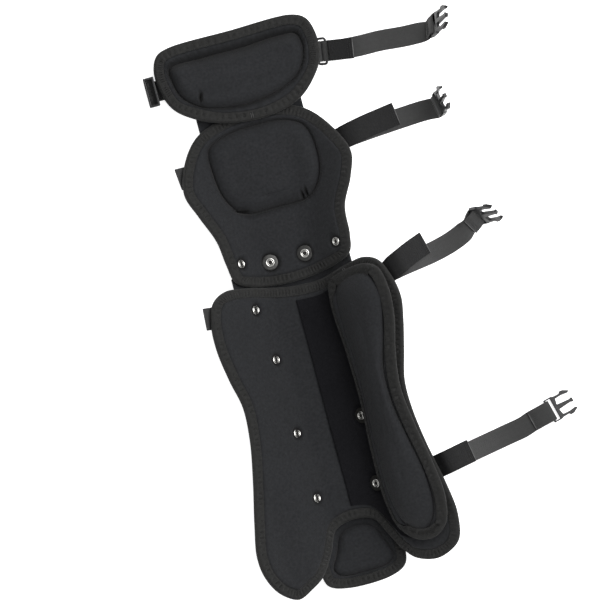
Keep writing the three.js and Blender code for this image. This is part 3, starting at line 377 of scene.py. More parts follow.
# A dark metal that is painted shade: in the rivets' grooves and bores, and on the washers beside the wing
# pad.
shaded_dark_metal = finish_material(
    "dark_metal_painted_shade", (0.008, 0.008, 0.0076), (0.03, 0.029, 0.026), tufts, {"Tuft": 0.001}, 0.00005,
    (0.5, 0.7), patch=0.004, on_surface=False, Metallic=0.1, Specular_IOR_Level=0.12)
pale_floor = finish_material(
    "pale_floor", (0.86, 0.86, 0.86), (0.9, 0.9, 0.9), tufts, {"Tuft": 0.01}, 0.0, (0.8, 0.9),
    patch=1.5, on_surface=False, Emission_Color=(1, 1, 1, 1), Emission_Strength=0.75)
floor_mesh.materials.append(pale_floor)
print("materials:", [m.name for m in bpy.data.materials if m.users])

# %% [markdown]
# ## The leg's trough
# Seen along the leg the guard is a trough: a flat floor, a bend, and straight wings that stand up on both
# sides. Its section changes slowly from the ankle to the thigh. The rows below repeat the solids' table in
# millimetres, and each pad lies on a parallel of the trough at its own height, because the pads overlap like
# tiles.

# %% Trough table
LEG = np.array([
    [-230, 20, 34, 0.7],
    [-100, 22, 23, 0.86],
    [60, 22.5, 22, 0.9],
    [180, 21, 35, 0.9],
    [270, 26, 52, 0.76],
    [350, 32, 70, 0.58],
    [455, 36, 90, 0.46],
])
THIGH_LIFT = np.array([[335, 14.5], [362, 13.8], [392, 4.4], [455, 1.8]])
JOINT_LIFT = 5
JOINT_RAMP = (60, 128)
TOE_LIFT = 9.6
TOE_RAMP = (50, 108)
TOE_FLANK = (60, 104)
FLAP_LIFT = 1.6
LINK_LIFT = 0.2
WING_RISE = 12.2


def rows_at(table, place):
    """A table's columns at places in its first column.

    Between two rows a cubic runs whose slope at each row is that of the line through the neighbouring rows.
    """
    keys = table[:, 0]
    last = len(keys) - 1
    at = np.clip(place, keys[0], keys[-1])
    i = np.clip(np.searchsorted(keys, at, side="left") - 1, 0, last - 1)
    before = np.maximum(np.arange(last + 1) - 1, 0)
    after = np.minimum(np.arange(last + 1) + 1, last)
    slopes = (table[after] - table[before]) / (keys[after] - keys[before])[:, None]
    span = (keys[i + 1] - keys[i])[..., None]
    t = (at - keys[i])[..., None] / span
    rise = table[i + 1] - table[i]
    a = slopes[i] * span
    b = slopes[i + 1] * span
    columns = table[i] + a * t + (3 * rise - 2 * a - b) * t**2 + (a + b - 2 * rise) * t**3
    return np.moveaxis(columns[..., 1:], -1, 0)


# %% Pad faces
def eased(value, start, end):
    """From 0 at start to 1 at end along the cubic 3t^2 - 2t^3."""
    t = np.clip((value - start) / (end - start), 0, 1)
    return t * t * (3 - 2 * t)


def trough(x, y, lift):
    """Height of the trough's parallel at a distance `lift`: flat, a parabola over the bend, then straight."""
    flat, bend, slope = rows_at(LEG, y)
    bend = bend - 2 * lift * (np.hypot(1, slope) - 1) / slope
    out = np.maximum(np.abs(x) - flat, 0)
    return lift + slope * np.where(out < bend, out**2 / (2 * bend), out - bend / 2)


def shin_lift(x, y):
    """The shin stands off the trough over the knee link, and over the instep flap between its lobes."""
    over_flap = eased(-y, *TOE_RAMP) * (1 - eased(np.abs(x), *TOE_FLANK))
    return JOINT_LIFT * eased(y, *JOINT_RAMP) + TOE_LIFT * over_flap


FACES = {
    "thigh": lambda x, y: trough(x, y, rows_at(THIGH_LIFT, y)[0]),
    "knee": lambda x, y: trough(x, y, JOINT_LIFT),
    "shin": lambda x, y: trough(x, y, shin_lift(x, y)),
    "wing": lambda x, y: trough(x, y, shin_lift(x, y) + WING_RISE),
    "instep": lambda x, y: trough(x, y, FLAP_LIFT),
    "link": lambda x, y: trough(x, y, LINK_LIFT),
}


def steepness(face, x, y):
    """The face's slopes along x and y, from points half a millimetre to each side."""
    step = 0.5
    along_x = (face(x + step, y) - face(x - step, y)) / (2 * step)
    along_y = (face(x, y + step) - face(x, y - step)) / (2 * step)
    return along_x, along_y


def raised(face, feet):
    """Points that stand n above the feet (x, y, n), along the face's normal."""
    x, y, n = np.moveaxis(feet, -1, 0)
    gx, gy = steepness(face, x, y)
    k = n / np.sqrt(gx**2 + gy**2 + 1)
    return np.stack([x - gx * k, y - gy * k, face(x, y) + k], axis=-1)


def feet_at(places, n):
    """Feet (x, y, n) of places (x, y); n is one height, or one for each place."""
    return np.concatenate([places, np.broadcast_to(n, places.shape[:-1])[..., None]], axis=-1)


def foot_seen_at(face, xy, n):
    """Feet whose points n above the face are seen at xy from above, found in five corrections."""
    feet = feet_at(xy, n)
    for _ in range(5):
        feet[..., :2] += xy - raised(face, feet)[..., :2]
    return feet


def cloth_uv(x, y):
    """Metres across and along the flattened cloth: the arc length of the trough's section, and y."""
    flat, bend, slope = rows_at(LEG, y)
    out = np.maximum(np.abs(x) - flat, 0)
    t = slope / bend * np.minimum(out, bend)
    arc = bend / (2 * slope) * (t * np.hypot(1, t) + np.arcsinh(t))
    across = np.minimum(np.abs(x), flat) + arc + np.maximum(out - bend, 0) * np.hypot(1, slope)
    return np.stack([np.sign(x) * across, y], axis=-1) * MM


middle_and_wing = [round(float(FACES["shin"](x, 0.0)), 1) for x in (0.0, 90.0)]
print("shin face at its middle and wing:", middle_and_wing, "mm")

# %% [markdown]
# ## Outlines and rings
# A pad is drawn by its outline from above, in four stretches that meet at its corners. Rings of stations run
# round inside the outline, at chosen distances from the edge, and then at chosen margins inside the raised
# panel's seam. The inside of the last ring is filled with a Coons patch, which blends the ring's four sides.

# %% Outlines
OUTLINES = {
    "thigh": [
        [(-87, 446.5), (-72, 452.5), (6, 454), (83, 453.5)],
        [(99.5, 445), (106.5, 425), (105.5, 402)],
        [(98.5, 383), (69.5, 354), (25, 342.5), (-21, 346), (-59, 359.5)],
        [(-83, 377.5), (-93, 400), (-95, 429)],
    ],
    "knee": [
        [(-68, 338), (-38, 351), (5, 357), (48, 351)],
        [(74, 338), (97, 310), (111, 276), (103, 247), (87, 214), (84, 180)],
        [(78, 159), (58, 149), (5, 142), (-48, 148.5)],
        [(-66, 159), (-71, 182), (-75, 212), (-88, 246), (-98, 276), (-90, 308)],
    ],
    "shin": [
        [(-98.5, 142), (-83, 151.5), (-62, 150.5), (-24, 142), (2, 137.5), (36, 137), (70, 146), (93, 149.5)],
        [(108.5, 142), (119.5, 118), (123.7, 92), (119.7, 66), (110.5, 28), (102.2, -6), (102, -40),
         (108, -86), (118.2, -138), (122.3, -177)],
        [(114.5, -209), (87, -222.5), (62, -216), (47, -199), (35, -178), (22, -158), (-3, -152.5),
         (-26, -160), (-39, -184), (-56, -209), (-71, -220), (-90, -228)],
        [(-110, -216), (-123, -192), (-126, -166), (-119, -128), (-107, -76), (-98, -28), (-96, 12),
         (-103, 46), (-108.5, 86), (-107, 118)],
    ],
    "wing": [
        [(46, 132), (66, 140), (90, 142)],
        [(105, 134), (112, 106), (110, 72), (100, 28), (95, -12), (100, -58), (110, -115), (113, -154)],
        [(105, -185), (88, -197), (69, -195)],
        [(51, -177), (43, -144), (42, -81), (45, -20), (44, 44), (41, 104)],
    ],
    "instep": [
        [(-46, -132), (-3, -127)],
        [(42, -132), (51, -156), (51, -192)],
        [(46, -219.5), (27, -229.3), (-31, -230.3)],
        [(-52.5, -221.5), (-57, -194), (-55, -156)],
    ],
}
PANELS = {
    "thigh": [(-75, 427.5), (-33, 430.5), (14, 430.5), (64, 433), (82, 430), (87, 416), (83.5, 399),
              (72, 382), (46, 369), (4, 363), (-26, 366), (-47, 372), (-68, 388), (-75.5, 408)],
    "knee": [(-54, 322), (-26, 334), (7, 336), (40, 334), (64, 321), (71, 284), (65, 256), (48, 237),
             (8, 234.5), (-34, 237), (-51, 258), (-57, 288)],
    "wing": [(52, 124), (68, 133), (88, 132), (100, 104), (93, 60), (80, 12), (80, -30), (88, -76),
             (97, -128), (93, -170), (78, -185), (60, -176), (48.5, -146), (47, -70), (50, 20), (47, 90)],
    "instep": [(-3, -160), (17, -165), (29, -187), (34, -206), (25, -214), (-4, -216.5), (-33, -214),
               (-40, -205), (-31, -187), (-21, -166)],
}
SPINES = {
    "thigh": [(-40, 399), (54, 401)],
    "knee": [(6, 276), (6, 300)],
    "wing": [(67, -150), (67, 100)],
    "instep": [(-4, -196), (-4, -186)],
}
print("outline points:", {name: sum(map(len, sides)) for name, sides in OUTLINES.items()})


# %% Closed curves and stations
SAME_POINT = 1e-4
CORNER_PARTS = 60


def curve_through(points, closed, per_row):
    """Centripetal Catmull-Rom curve: knots are spaced by the root of the distance between the points.

    Where two points are the same, as in a strip that keeps its width's way, the spacing of a neighbour holds.
    """
    points = np.asarray(points, float)
    if closed:
        p0, p1, p2, p3 = (np.roll(points, k, axis=0) for k in (1, 0, -1, -2))
    else:
        ends = np.vstack([2 * points[0] - points[1], points, 2 * points[-1] - points[-2]])
        p0, p1, p2, p3 = (ends[k : len(ends) - 3 + k] for k in range(4))
    pairs = ((p0, p1), (p1, p2), (p2, p3))
    d0, d1, d2 = (np.sqrt(np.linalg.norm(b - a, axis=1, keepdims=True)) for a, b in pairs)
    d1 = np.where(d1 < SAME_POINT, 1, d1)
    d0 = np.where(d0 < SAME_POINT, d1, d0)
    d2 = np.where(d2 < SAME_POINT, d1, d2)
    m1 = d1 * ((p1 - p0) / d0 - (p2 - p0) / (d0 + d1) + (p2 - p1) / d1)
    m2 = d1 * ((p2 - p1) / d1 - (p3 - p1) / (d1 + d2) + (p3 - p2) / d2)
    t = (np.arange(per_row) / per_row)[:, None, None]
    bent = p1 + m1 * t + (3 * (p2 - p1) - 2 * m1 - m2) * t**2 + (m1 + m2 - 2 * (p2 - p1)) * t**3
    rows = np.swapaxes(bent, 0, 1).reshape(-1, points.shape[1])
    return rows if closed else np.vstack([rows, points[-1:]])


def lengths_along(rows):
    """Distance from the first row to each row."""
    return np.append(0, np.cumsum(np.linalg.norm(np.diff(rows, axis=0), axis=1)))


def evenly(rows, run, count):
    """`count` rows spread evenly over a running length, from the first row to the last."""
    at = np.linspace(0, run[-1], count)
    return np.stack([np.interp(at, run, column) for column in rows.T], axis=-1)


def stations_of(name, across, along):
    """Stations on an outline with corners at its four stretches, and the inward way, eased at the corners."""
    sides = OUTLINES[name]
    per_row = 24
    curve = curve_through(sum(sides, []), True, per_row)
    curve = np.vstack([curve, curve[:1]])
    starts = np.cumsum([0] + [len(side) for side in sides]) * per_row
    counts = (across, along, across, along)
    pieces = [curve[a : b + 1] for a, b in zip(starts, starts[1:])]
    at = np.vstack([evenly(piece, lengths_along(piece), n + 1)[:-1] for piece, n in zip(pieces, counts)])
    reach = max(round(len(at) / CORNER_PARTS), 1)
    ahead = np.roll(at, -1, axis=0) - np.roll(at, 1, axis=0)
    eased_way = sum(np.roll(ahead, k, axis=0) for k in range(-reach, reach + 1))
    inward = np.stack([eased_way[:, 1], -eased_way[:, 0]], axis=-1)
    return at, unit(inward)


# %% Rings
def ring_inside(face, at, inward, inset):
    """The stations moved inwards by distances measured on the face."""
    gx, gy = steepness(face, at[:, 0], at[:, 1])
    step = inset / np.hypot(1, gx * inward[:, 0] + gy * inward[:, 1])
    return at + inward * step[..., None]


def panel_reach(name, at):
    """Lines from a panel's spine to the stations: their start, their way, and how far along the seam lies."""
    line = curve_through(PANELS[name], True, per_row=16)
    edge = line - np.roll(line, -1, axis=0)
    a, b = np.array(SPINES[name], float)
    share = np.clip((at - a) @ (b - a) / ((b - a) @ (b - a)), 0, 1)
    start = a + share[:, None] * (b - a)
    way = unit(at - start)
    off = line[None] - start[:, None]
    det = way[:, None, 0] * edge[:, 1] - way[:, None, 1] * edge[:, 0]
    reach = (off[..., 0] * edge[:, 1] - off[..., 1] * edge[:, 0]) / det
    where = (way[:, None, 0] * off[..., 1] - way[:, None, 1] * off[..., 0]) / det
    return start, way, np.where((where >= 0) & (where <= 1), reach, 0).max(axis=1)


def coons(ring, across, along, hold=1):
    """Coons patch of a ring: the blend of its sides, plus the bends of its top and bottom.

    A bend is the way an end leaves the line between its corners. It fades with the `hold`th power of the
    distance from the far end, so that in a long waisted patch the ends don't crowd the waist.
    """
    top = ring[: across + 1]
    right = ring[across : across + along + 1]
    bottom = ring[across + along : 2 * across + along + 1][::-1]
    left = np.vstack([ring[2 * across + along :], ring[:1]])[::-1]
    u = np.linspace(0, 1, across + 1)[None, :, None]
    v = np.linspace(0, 1, along + 1)[:, None, None]
    top_bend = top - (1 - u) * top[0] - u * top[-1]
    bottom_bend = bottom - (1 - u) * bottom[0] - u * bottom[-1]
    return (1 - u) * left[:, None] + u * right[:, None] + (1 - v) ** hold * top_bend + v**hold * bottom_bend


def ring_index(first, across, along, first_inside):
    """Point numbers of a filled ring: its stations round the rim, and the patch's own points inside."""
    ring = first + np.arange(2 * (across + along))
    grid = np.empty((along + 1, across + 1), int)
    grid[1:-1, 1:-1] = first_inside + np.arange((along - 1) * (across - 1)).reshape(along - 1, across - 1)
    grid[0] = ring[: across + 1]
    grid[:, -1] = ring[across : across + along + 1]
    grid[-1] = ring[across + along : 2 * across + along + 1][::-1]
    grid[:, 0] = np.append(ring[2 * across + along :], ring[0])[::-1]
    return grid


print("thigh stations:", len(stations_of("thigh", 10, 6)[0]))

# %% [markdown]
# ## The padded pieces
# Each pad is foam between the lining and an outer cover, sewn down along its tape and along the seam of its
# raised panel. The lining dives into a seam and swells between seams, so its height is worked out from the
# distance to the nearest seam: it falls off exponentially towards the tape and rises along a quarter sine
# inside the panel. Small uneven gathers along the seams, tucks at the panel's corners and dimples round the
# rivets are added to that height, so the folds are real shape. Besides, a painted shade darkens the lining
# in the seams, beside the tape, round the rivets and in the tucks.

# %% Pad measures
TAPE_WIDTH = {"thigh": 12, "knee": 12, "shin": 12, "wing": 14, "instep": 12}
PIPING_WIDTH = 4.6
PIPING_SIDE = (62, 50)
PIPING_LOW = (-188, -168)
PIPING_TOP = (106, 126)
BORDER_THICK = {"thigh": 5, "knee": 5, "shin": 5, "wing": 4, "instep": 4}
CELLS = {"thigh": (130, 74), "knee": (132, 132), "shin": (112, 150), "wing": (44, 170), "instep": (54, 54)}
HOLD = {"thigh": 1, "knee": 1, "shin": 1, "wing": 10, "instep": 1}
EDGE_INSET = 1.6
UNDER_TAPE = 0.9
BAND_HEIGHT = {"thigh": 7.4, "knee": 8.2, "wing": 6.2, "instep": 5.2, "shin": 7.9}
SEAM_HEIGHT = {"thigh": 2.6, "knee": 3.6, "wing": 2.0, "instep": 1.6}
PANEL_HEIGHT = {"thigh": 16, "knee": 16, "wing": 15, "instep": 8}
PANEL_ROUND = {"thigh": 16, "knee": 20, "wing": 30, "instep": 11}
CROWN = {"thigh": 4, "knee": 4, "wing": 0.5, "instep": 1.5, "shin": 0}
# Strength of the painted shade in each pad's seams.
SEAM_SHADING = {"thigh": 0.8, "knee": 0.65, "wing": 0.4, "instep": 0.35}
BAND_RINGS = {"thigh": 14, "knee": 34, "wing": 14, "instep": 12}
PANEL_RINGS = 18
TUCKS = {
    "thigh": [((-49, 381), (0.26, 0.97), 8, 5, 2.2)],
    "knee": [
        ((-36, 239.5), (0.98, -0.2), 7, 8, 2.2),
        ((43.5, 240), (0.3, 0.95), 6.5, 5, 1.7),
        ((49.5, 242), (0.3, 0.95), 6.5, 5, 1.7),
    ],
}
# A tuck this deep gets the full painted shade.
TUCK_SHADE_DROP = 4
LEAST_FOAM = 0.6
QUILT_THICK = 8
PILE_THICK = 1.5
GAP = 0.3
TAIL_SINK = 2.6
RIVET_SEAT = QUILT_THICK - TAIL_SINK
TAIL_RIM = 6.0
WASHER_RIM = 10.2
RIM_SHADE = 1
COLLAR = 5
GATHER_WAVES = ((1, 0), (0.63, 1.3), (1.7, 4))
RIVETS = {
    "knee_rivet_1": ("knee", (-52.5, 179), None),
    "knee_rivet_2": ("knee", (-18.3, 172), "knee_washer_2"),
    "knee_rivet_3": ("knee", (25, 172), "knee_washer_3"),
    "knee_rivet_4": ("knee", (64.7, 176), None),
    "shin_rivet_1": ("shin", (-50, 121), None),
    "shin_rivet_2": ("shin", (-41.8, 57), None),
    "shin_rivet_3": ("shin", (-40.5, -35), None),
    "shin_rivet_4": ("shin", (-37.3, -116), None),
    "shin_rivet_5": ("shin", (40.6, -34), "shin_washer_5"),
    "shin_rivet_6": ("shin", (37, -117), "shin_washer_6"),
}


def along_piping(at):
    """1 along the wing pad's inner edge, where its tape is a narrow piping, and 0 elsewhere."""
    between = eased(at[:, 1], *PIPING_LOW) * (1 - eased(at[:, 1], *PIPING_TOP))
    return eased(at[:, 0], *PIPING_SIDE) * between


def tape_width(name, at):
    """Width of the tape at each station: even, but a narrow piping along the wing pad's inner edge."""
    width = np.full(len(at), TAPE_WIDTH[name], float)
    if name == "wing":
        width -= (TAPE_WIDTH[name] - PIPING_WIDTH) * along_piping(at)
    return width


def gathers(count, pitch, length):
    """Uneven gathers round a seam, between 0 and 1: waves of unlike number that each close on themselves."""
    turn = TURN * np.arange(count) / count
    waves = max(round(length / pitch), len(GATHER_WAVES))
    mixed = sum(np.sin(round(part * waves) * turn + lag) for part, lag in GATHER_WAVES)
    return 0.5 + mixed / (2 * len(GATHER_WAVES))


# %% Pad heights
def tucked(name, feet):
    """Drop of the tucks: short creases, with a bell shape along and across each one."""
    drop = np.zeros(feet.shape[:-1])
    for centre, way, depth, long, wide in TUCKS.get(name, []):
        off = feet[..., :2] - centre
        along = off @ np.array(way)
        across = off @ np.array([-way[1], way[0]])
        drop += depth * np.exp(-((along / long) ** 2) - (across / wide) ** 2)
    return drop


def dimpled(name, feet):
    """Heights sunk to the seat of each rivet and back over a smooth collar, and a painted shade round each
    rivet.

    The shin's washers sit on the loop strip, so the seat there is lower by the strip's thickness.
    """
    face = FACES[name]
    heights = feet[..., 2]
    shade_amount = np.zeros(feet.shape[:-1])
    ground = raised(face, feet * [1, 1, 0])
    for pad, place, washer in RIVETS.values():
        if pad == name:
            seat = RIVET_SEAT - (PILE_THICK + GAP if washer and pad == "shin" else 0)
            rim = WASHER_RIM if washer else TAIL_RIM
            foot = foot_seen_at(face, np.array(place, float), RIVET_SEAT) * [1, 1, 0]
            away = np.linalg.norm(ground - raised(face, foot), axis=-1)
            heights = seat + (heights - seat) * eased(away, rim, rim + COLLAR)
            shade_amount = np.maximum(shade_amount, 1 - eased(away, rim - RIM_SHADE, rim + COLLAR))
    return heights, shade_amount


# %% Seams
TOP_SEAM = (404, 420)
TOP_SEAM_DROP = 1.6
TOP_SEAM_SPREAD = 0.9
PIPING_LIFT = 2.6
ROLL_HEIGHT = 2.4
ROLL_OFF = 3.4
ROLL_SPREAD = 1.5
ROLL_TOP = (242, 252)
ROLL_LEFT = (-42, -30)
ROLL_RIGHT = (38, 50)


def seam_depth(name, at):
    """Height and spread of the panel's seam at each station, and the strength of the painted shade in it.

    Along the thigh pad's top the seam is drawn down deeper; along the wing pad's piping it hardly shows.
    """
    deeper = eased(at[:, 1], *TOP_SEAM) if name == "thigh" else np.zeros(len(at))
    hidden = along_piping(at) if name == "wing" else np.zeros(len(at))
    height = SEAM_HEIGHT[name] - TOP_SEAM_DROP * deeper + PIPING_LIFT * hidden
    return height, 1 + TOP_SEAM_SPREAD * deeper, SEAM_SHADING[name] * (1 - hidden)


def rolled_fold(name, seam, away):
    """A soft roll of spare cloth beside the knee panel's lower seam: a bell off it, eased out at its ends."""
    if name != "knee":
        return 0
    below = 1 - eased(seam[:, 1], *ROLL_TOP)
    below = below * eased(seam[:, 0], *ROLL_LEFT) * (1 - eased(seam[:, 0], *ROLL_RIGHT))
    return ROLL_HEIGHT * below * np.exp(-(((away - ROLL_OFF) / ROLL_SPREAD) ** 2))


# %% Pad rings
TAPE_LAP = 0.6
GATHER_PITCH = 9
GATHER_SHARE = 0.4
SEAM_FALL = 2.6
SEAM_SHADE = 1.6
TAPE_FALL = 1.3
TAPE_SHADE = 1.2
# Painted shade beside the tape.
BAND_SHADE = 0.4
RING_CROWDING = 1.6
MOST_ROUND = 0.8
SIDE_POWER = 0.7
SIDE_SHADE = 2.6
PUCKER = 0.5
PUCKER_PITCH = 13
PUCKER_FALL = 4.5
PLAIN_INSETS = np.array([0, 0.4, 0.9, 1.6, 2.6, 4, 6])
PLAIN_FALL = 1.1
PLAIN_GATHER = 0.6
# Painted shade beside the tape of a pad without a panel.
PLAIN_SHADE = 0.6


def band_rings(name, at, inward, length):
    """Rings from the tape's inner edge to the panel's seam, and on up the panel's side.

    The band stands at its own height less an exponential at each of its two seams; the panel's side rises as
    the 0.7th power of a quarter sine. The painted shade is a bell beside the seam, with more beside the tape,
    and it fades up the panel's side.
    """
    face = FACES[name]
    outer = ring_inside(face, at, inward, tape_width(name, at) - TAPE_LAP)
    start, way, reach = panel_reach(name, at)
    seam, spread, shade_strength = seam_depth(name, start + way * reach[:, None])
    inner = foot_seen_at(face, start + way * reach[:, None], seam)[:, :2]
    share = (1 - np.cos(np.linspace(0, np.pi, BAND_RINGS[name])))[:, None] / 2
    gap = np.linalg.norm(inner - outer, axis=1)
    band = BAND_HEIGHT[name]
    edge = BORDER_THICK[name] - UNDER_TAPE
    gathered = 1 - GATHER_SHARE / 2 + GATHER_SHARE * gathers(len(at), GATHER_PITCH, length)
    fall = SEAM_FALL * spread * gathered
    away = (1 - share) * gap
    n = band - (band - edge) * np.exp(-share * gap / TAPE_FALL) - (band - seam) * np.exp(-away / fall)
    n = n + rolled_fold(name, inner, away)
    band_feet = feet_at(outer + (inner - outer) * share[..., None], n)
    at_seam = shade_strength * np.exp(-((away / (SEAM_SHADE * fall)) ** 2))
    at_tape = BAND_SHADE * np.exp(-share * gap / TAPE_SHADE)
    share = np.linspace(0, 1, PANEL_RINGS)[1:, None] ** RING_CROWDING
    margin = np.minimum(PANEL_ROUND[name], MOST_ROUND * reach) * share
    n = seam + (PANEL_HEIGHT[name] - seam) * np.sin(np.pi / 2 * share) ** SIDE_POWER
    n = n - PUCKER * gathers(len(at), PUCKER_PITCH, length) * np.exp(-margin / PUCKER_FALL) * (1 - share)
    seen = start + way * (reach - margin)[..., None]
    shade_amount = np.concatenate([np.maximum(at_seam, at_tape), shade_strength * np.exp(-margin / (SIDE_SHADE * spread))])
    return np.concatenate([band_feet, foot_seen_at(face, seen, n)]), shade_amount


def plain_rings(name, at, inward, length):
    """Rings from the tape's inner edge to the flat quilted inside, with painted shade beside the tape."""
    inset = tape_width(name, at) - TAPE_LAP + PLAIN_INSETS[:, None]
    edge = BORDER_THICK[name] - UNDER_TAPE
    fall = PLAIN_FALL + PLAIN_GATHER * gathers(len(at), GATHER_PITCH, length)
    n = BAND_HEIGHT[name] - (BAND_HEIGHT[name] - edge) * np.exp(-(inset - inset[0]) / fall)
    shade_amount = PLAIN_SHADE * np.exp(-(inset - inset[0]) / TAPE_SHADE)
    return feet_at(ring_inside(FACES[name], at, inward, inset), n), shade_amount


# %% Pad builder
TAPE_HOLD = 2
RIPPLE_LONG = (19, 27)
RIPPLE_SLANT = (8, 13)
RIPPLE_FINE = 0.6
RIPPLE_HEIGHT = 0.45
RIPPLE_SINK = 1.2


def rippled(x, y):
    """Slow unevenness of the foam: two crossed waves, and a finer and weaker one on the slant."""
    crossed = np.sin(x / RIPPLE_LONG[0] + 1) * np.sin(y / RIPPLE_LONG[1])
    return crossed + RIPPLE_FINE * np.sin(x / RIPPLE_SLANT[0] - y / RIPPLE_SLANT[1])


def make_pad(name, node):
    """A pad as one closed skin: outer cover, edge, band, panel, with both middles filled by Coons patches."""
    face = FACES[name]
    across, along = CELLS[name]
    at, inward = stations_of(name, across, along)
    count = len(at)
    length = lengths_along(np.vstack([at, at[:1]]))[-1]
    edge = BORDER_THICK[name] - UNDER_TAPE
    width = tape_width(name, at)
    rims = [(width, 0), (EDGE_INSET, 0), (EDGE_INSET, edge), (width - TAPE_HOLD, edge)]
    rim_feet = [feet_at(ring_inside(face, at, inward, inset), n) for inset, n in rims]
    rings = band_rings if name in PANELS else plain_rings
    ring_feet, shade_amount = rings(name, at, inward, length)
    feet = np.concatenate([rim_feet, ring_feet])
    under = coons(feet[0], across, along, HOLD[name])[1:-1, 1:-1].reshape(-1, 3)
    top = coons(feet[-1], across, along, HOLD[name])
    u = np.linspace(0, 1, across + 1)[None, :]
    v = np.linspace(0, 1, along + 1)[:, None]
    dome = (16 * u * (1 - u) * v * (1 - v)) ** 2
    ripple = rippled(top[..., 0], top[..., 1])
    top[..., 2] += CROWN[name] * dome + RIPPLE_HEIGHT * dome * (ripple - RIPPLE_SINK)
    top = top[1:-1, 1:-1].reshape(-1, 3)
    all_feet = np.concatenate([feet.reshape(-1, 3), under, top])
    lined = np.arange(len(all_feet)) >= len(rims) * count
    lined[len(feet) * count : len(feet) * count + len(under)] = False
    drop = tucked(name, all_feet)
    shaped, rivet_shade = dimpled(name, all_feet - [0, 0, 1] * drop[:, None])
    all_feet[:, 2] = np.where(lined, np.maximum(shaped, LEAST_FOAM), all_feet[:, 2])
    # Painted shade of the lining: in the seams, beside the tape, round the rivets and in the tucks.
    painted_shade = np.r_[np.zeros(len(rims) * count), shade_amount.ravel(), np.zeros(len(under) + len(top))]
    painted_shade = lined * np.maximum(np.maximum(painted_shade, rivet_shade), np.minimum(drop / TUCK_SHADE_DROP, 1))
    walls = grid_faces(numbered(len(feet), count, columns_close=True))
    floor_faces = grid_faces(ring_index(0, across, along, len(feet) * count))
    last = (len(feet) - 1) * count
    roof_faces = grid_faces(ring_index(last, across, along, len(feet) * count + len(under)))
    faces = np.concatenate([walls, floor_faces[:, ::-1], roof_faces])
    outside = np.r_[np.arange(len(walls)) < 2 * count, np.ones(len(floor_faces)), np.zeros(len(roof_faces))]
    uv = cloth_uv(all_feet[:, 0], all_feet[:, 1])
    piece = put_piece(node + "_sewn", raised(face, all_feet), faces, uv[faces], [lining, cover],
                      inner=outside, painted_shade=painted_shade, nodes=[node])
    print(node, len(faces), "faces,", round(length), "mm round")


# %% Pads
for name, node, fill in (
    ("thigh", "thigh_pad", 0.7),
    ("knee", "knee_pad", 0.7),
    ("shin", "shin_pad", 0.6),
    ("wing", "wing_pad", 0.7),
    ("instep", "instep_flap", 0.5),
):
    make_pad(name, node)

# %% [markdown]
# ## Bound edges
# A knitted tape is folded over each raw edge and sewn down with a zigzag, which pulls it into fine ribs. The
# tape is a U section carried round the outline. Its outer side is a superellipse, flat on top and round at
# the rim, and the stitches dent it into ribs. The stitches themselves are short bowed threads.

# %% Tape section
TAPE_THICK = 1.3
RIB_PITCH = 5.6
RIB_DEPTH = 1.5
TAPE_POWER = 2.6
TAPE_ROWS = 25
DENT_PLACE = 0.6
DENT_SPREAD = 0.24
DENT_POWER = 1.5
DENT_DRIFT = 1.5
DRIFT_WAVES = 7
UNEVEN_PITCH = 31
UNEVEN_LEAST = 0.4
UNEVEN_MORE = 1.2


def tape_feet(name, at, inward, length):
    """Feet of the tape: (1 - inset/width)^2.6 + (height/half)^2.6 = 1 outside, and a plain channel inside.

    The dents of the stitches are bells round 0.6 of the width, on the upper side only.
    """
    width = tape_width(name, at)
    border = BORDER_THICK[name]
    angle = np.pi * (0.5 - 0.5 * np.cos(np.linspace(0, np.pi, TAPE_ROWS)))[:, None]
    turn = TURN * np.arange(len(at)) / len(at)
    waves = round(length / RIB_PITCH)
    uneven = UNEVEN_LEAST + UNEVEN_MORE * gathers(len(at), UNEVEN_PITCH, length)
    drifting = waves * turn + DENT_DRIFT * np.sin(DRIFT_WAVES * turn)
    dents = (0.5 + 0.5 * np.cos(drifting)) ** DENT_POWER * uneven
    inset = width * (1 - squared_off(np.sin(angle), TAPE_POWER))
    rise = squared_off(np.cos(angle), TAPE_POWER)
    bell = np.exp(-(((inset / width - DENT_PLACE) / DENT_SPREAD) ** 2)) * (angle < np.pi / 2)
    n = border / 2 + (border / 2 + GAP + TAPE_THICK) * rise - RIB_DEPTH * dents * bell
    rim = EDGE_INSET - GAP
    channel = np.array([[0, -GAP], [rim, -GAP], [rim, border + GAP], [0, border + GAP]])
    inner = np.where(channel[:, :1] > 0, channel[:, :1], width)
    inset = np.vstack([inset, inner])
    n = np.vstack([n, np.repeat(channel[:, 1:], len(at), axis=1)])
    return feet_at(ring_inside(FACES[name], at, inward, inset), n)


# %% Stitches
THREAD_STEPS = 5
THREAD_SIDES = 5
THREAD_END = 0.6


def thread_points(start, end, up, rise, radius):
    """Stitches from start to end, bowed up by a half sine and thinner at both ends, as five-sided tubes."""
    t = np.linspace(0, 1, THREAD_STEPS)
    way = end - start
    path = start[:, None] + way[:, None] * t[:, None] + up[:, None] * (rise * np.sin(np.pi * t))[:, None]
    side = unit(np.cross(up, way))
    angle = TURN * np.arange(THREAD_SIDES) / THREAD_SIDES
    around = np.cos(angle)[:, None] * side[:, None, :] + np.sin(angle)[:, None] * up[:, None, :]
    thick = radius * (THREAD_END + (1 - THREAD_END) * np.sin(np.pi * t))
    return path[:, :, None] + thick[:, None, None] * around[:, None]


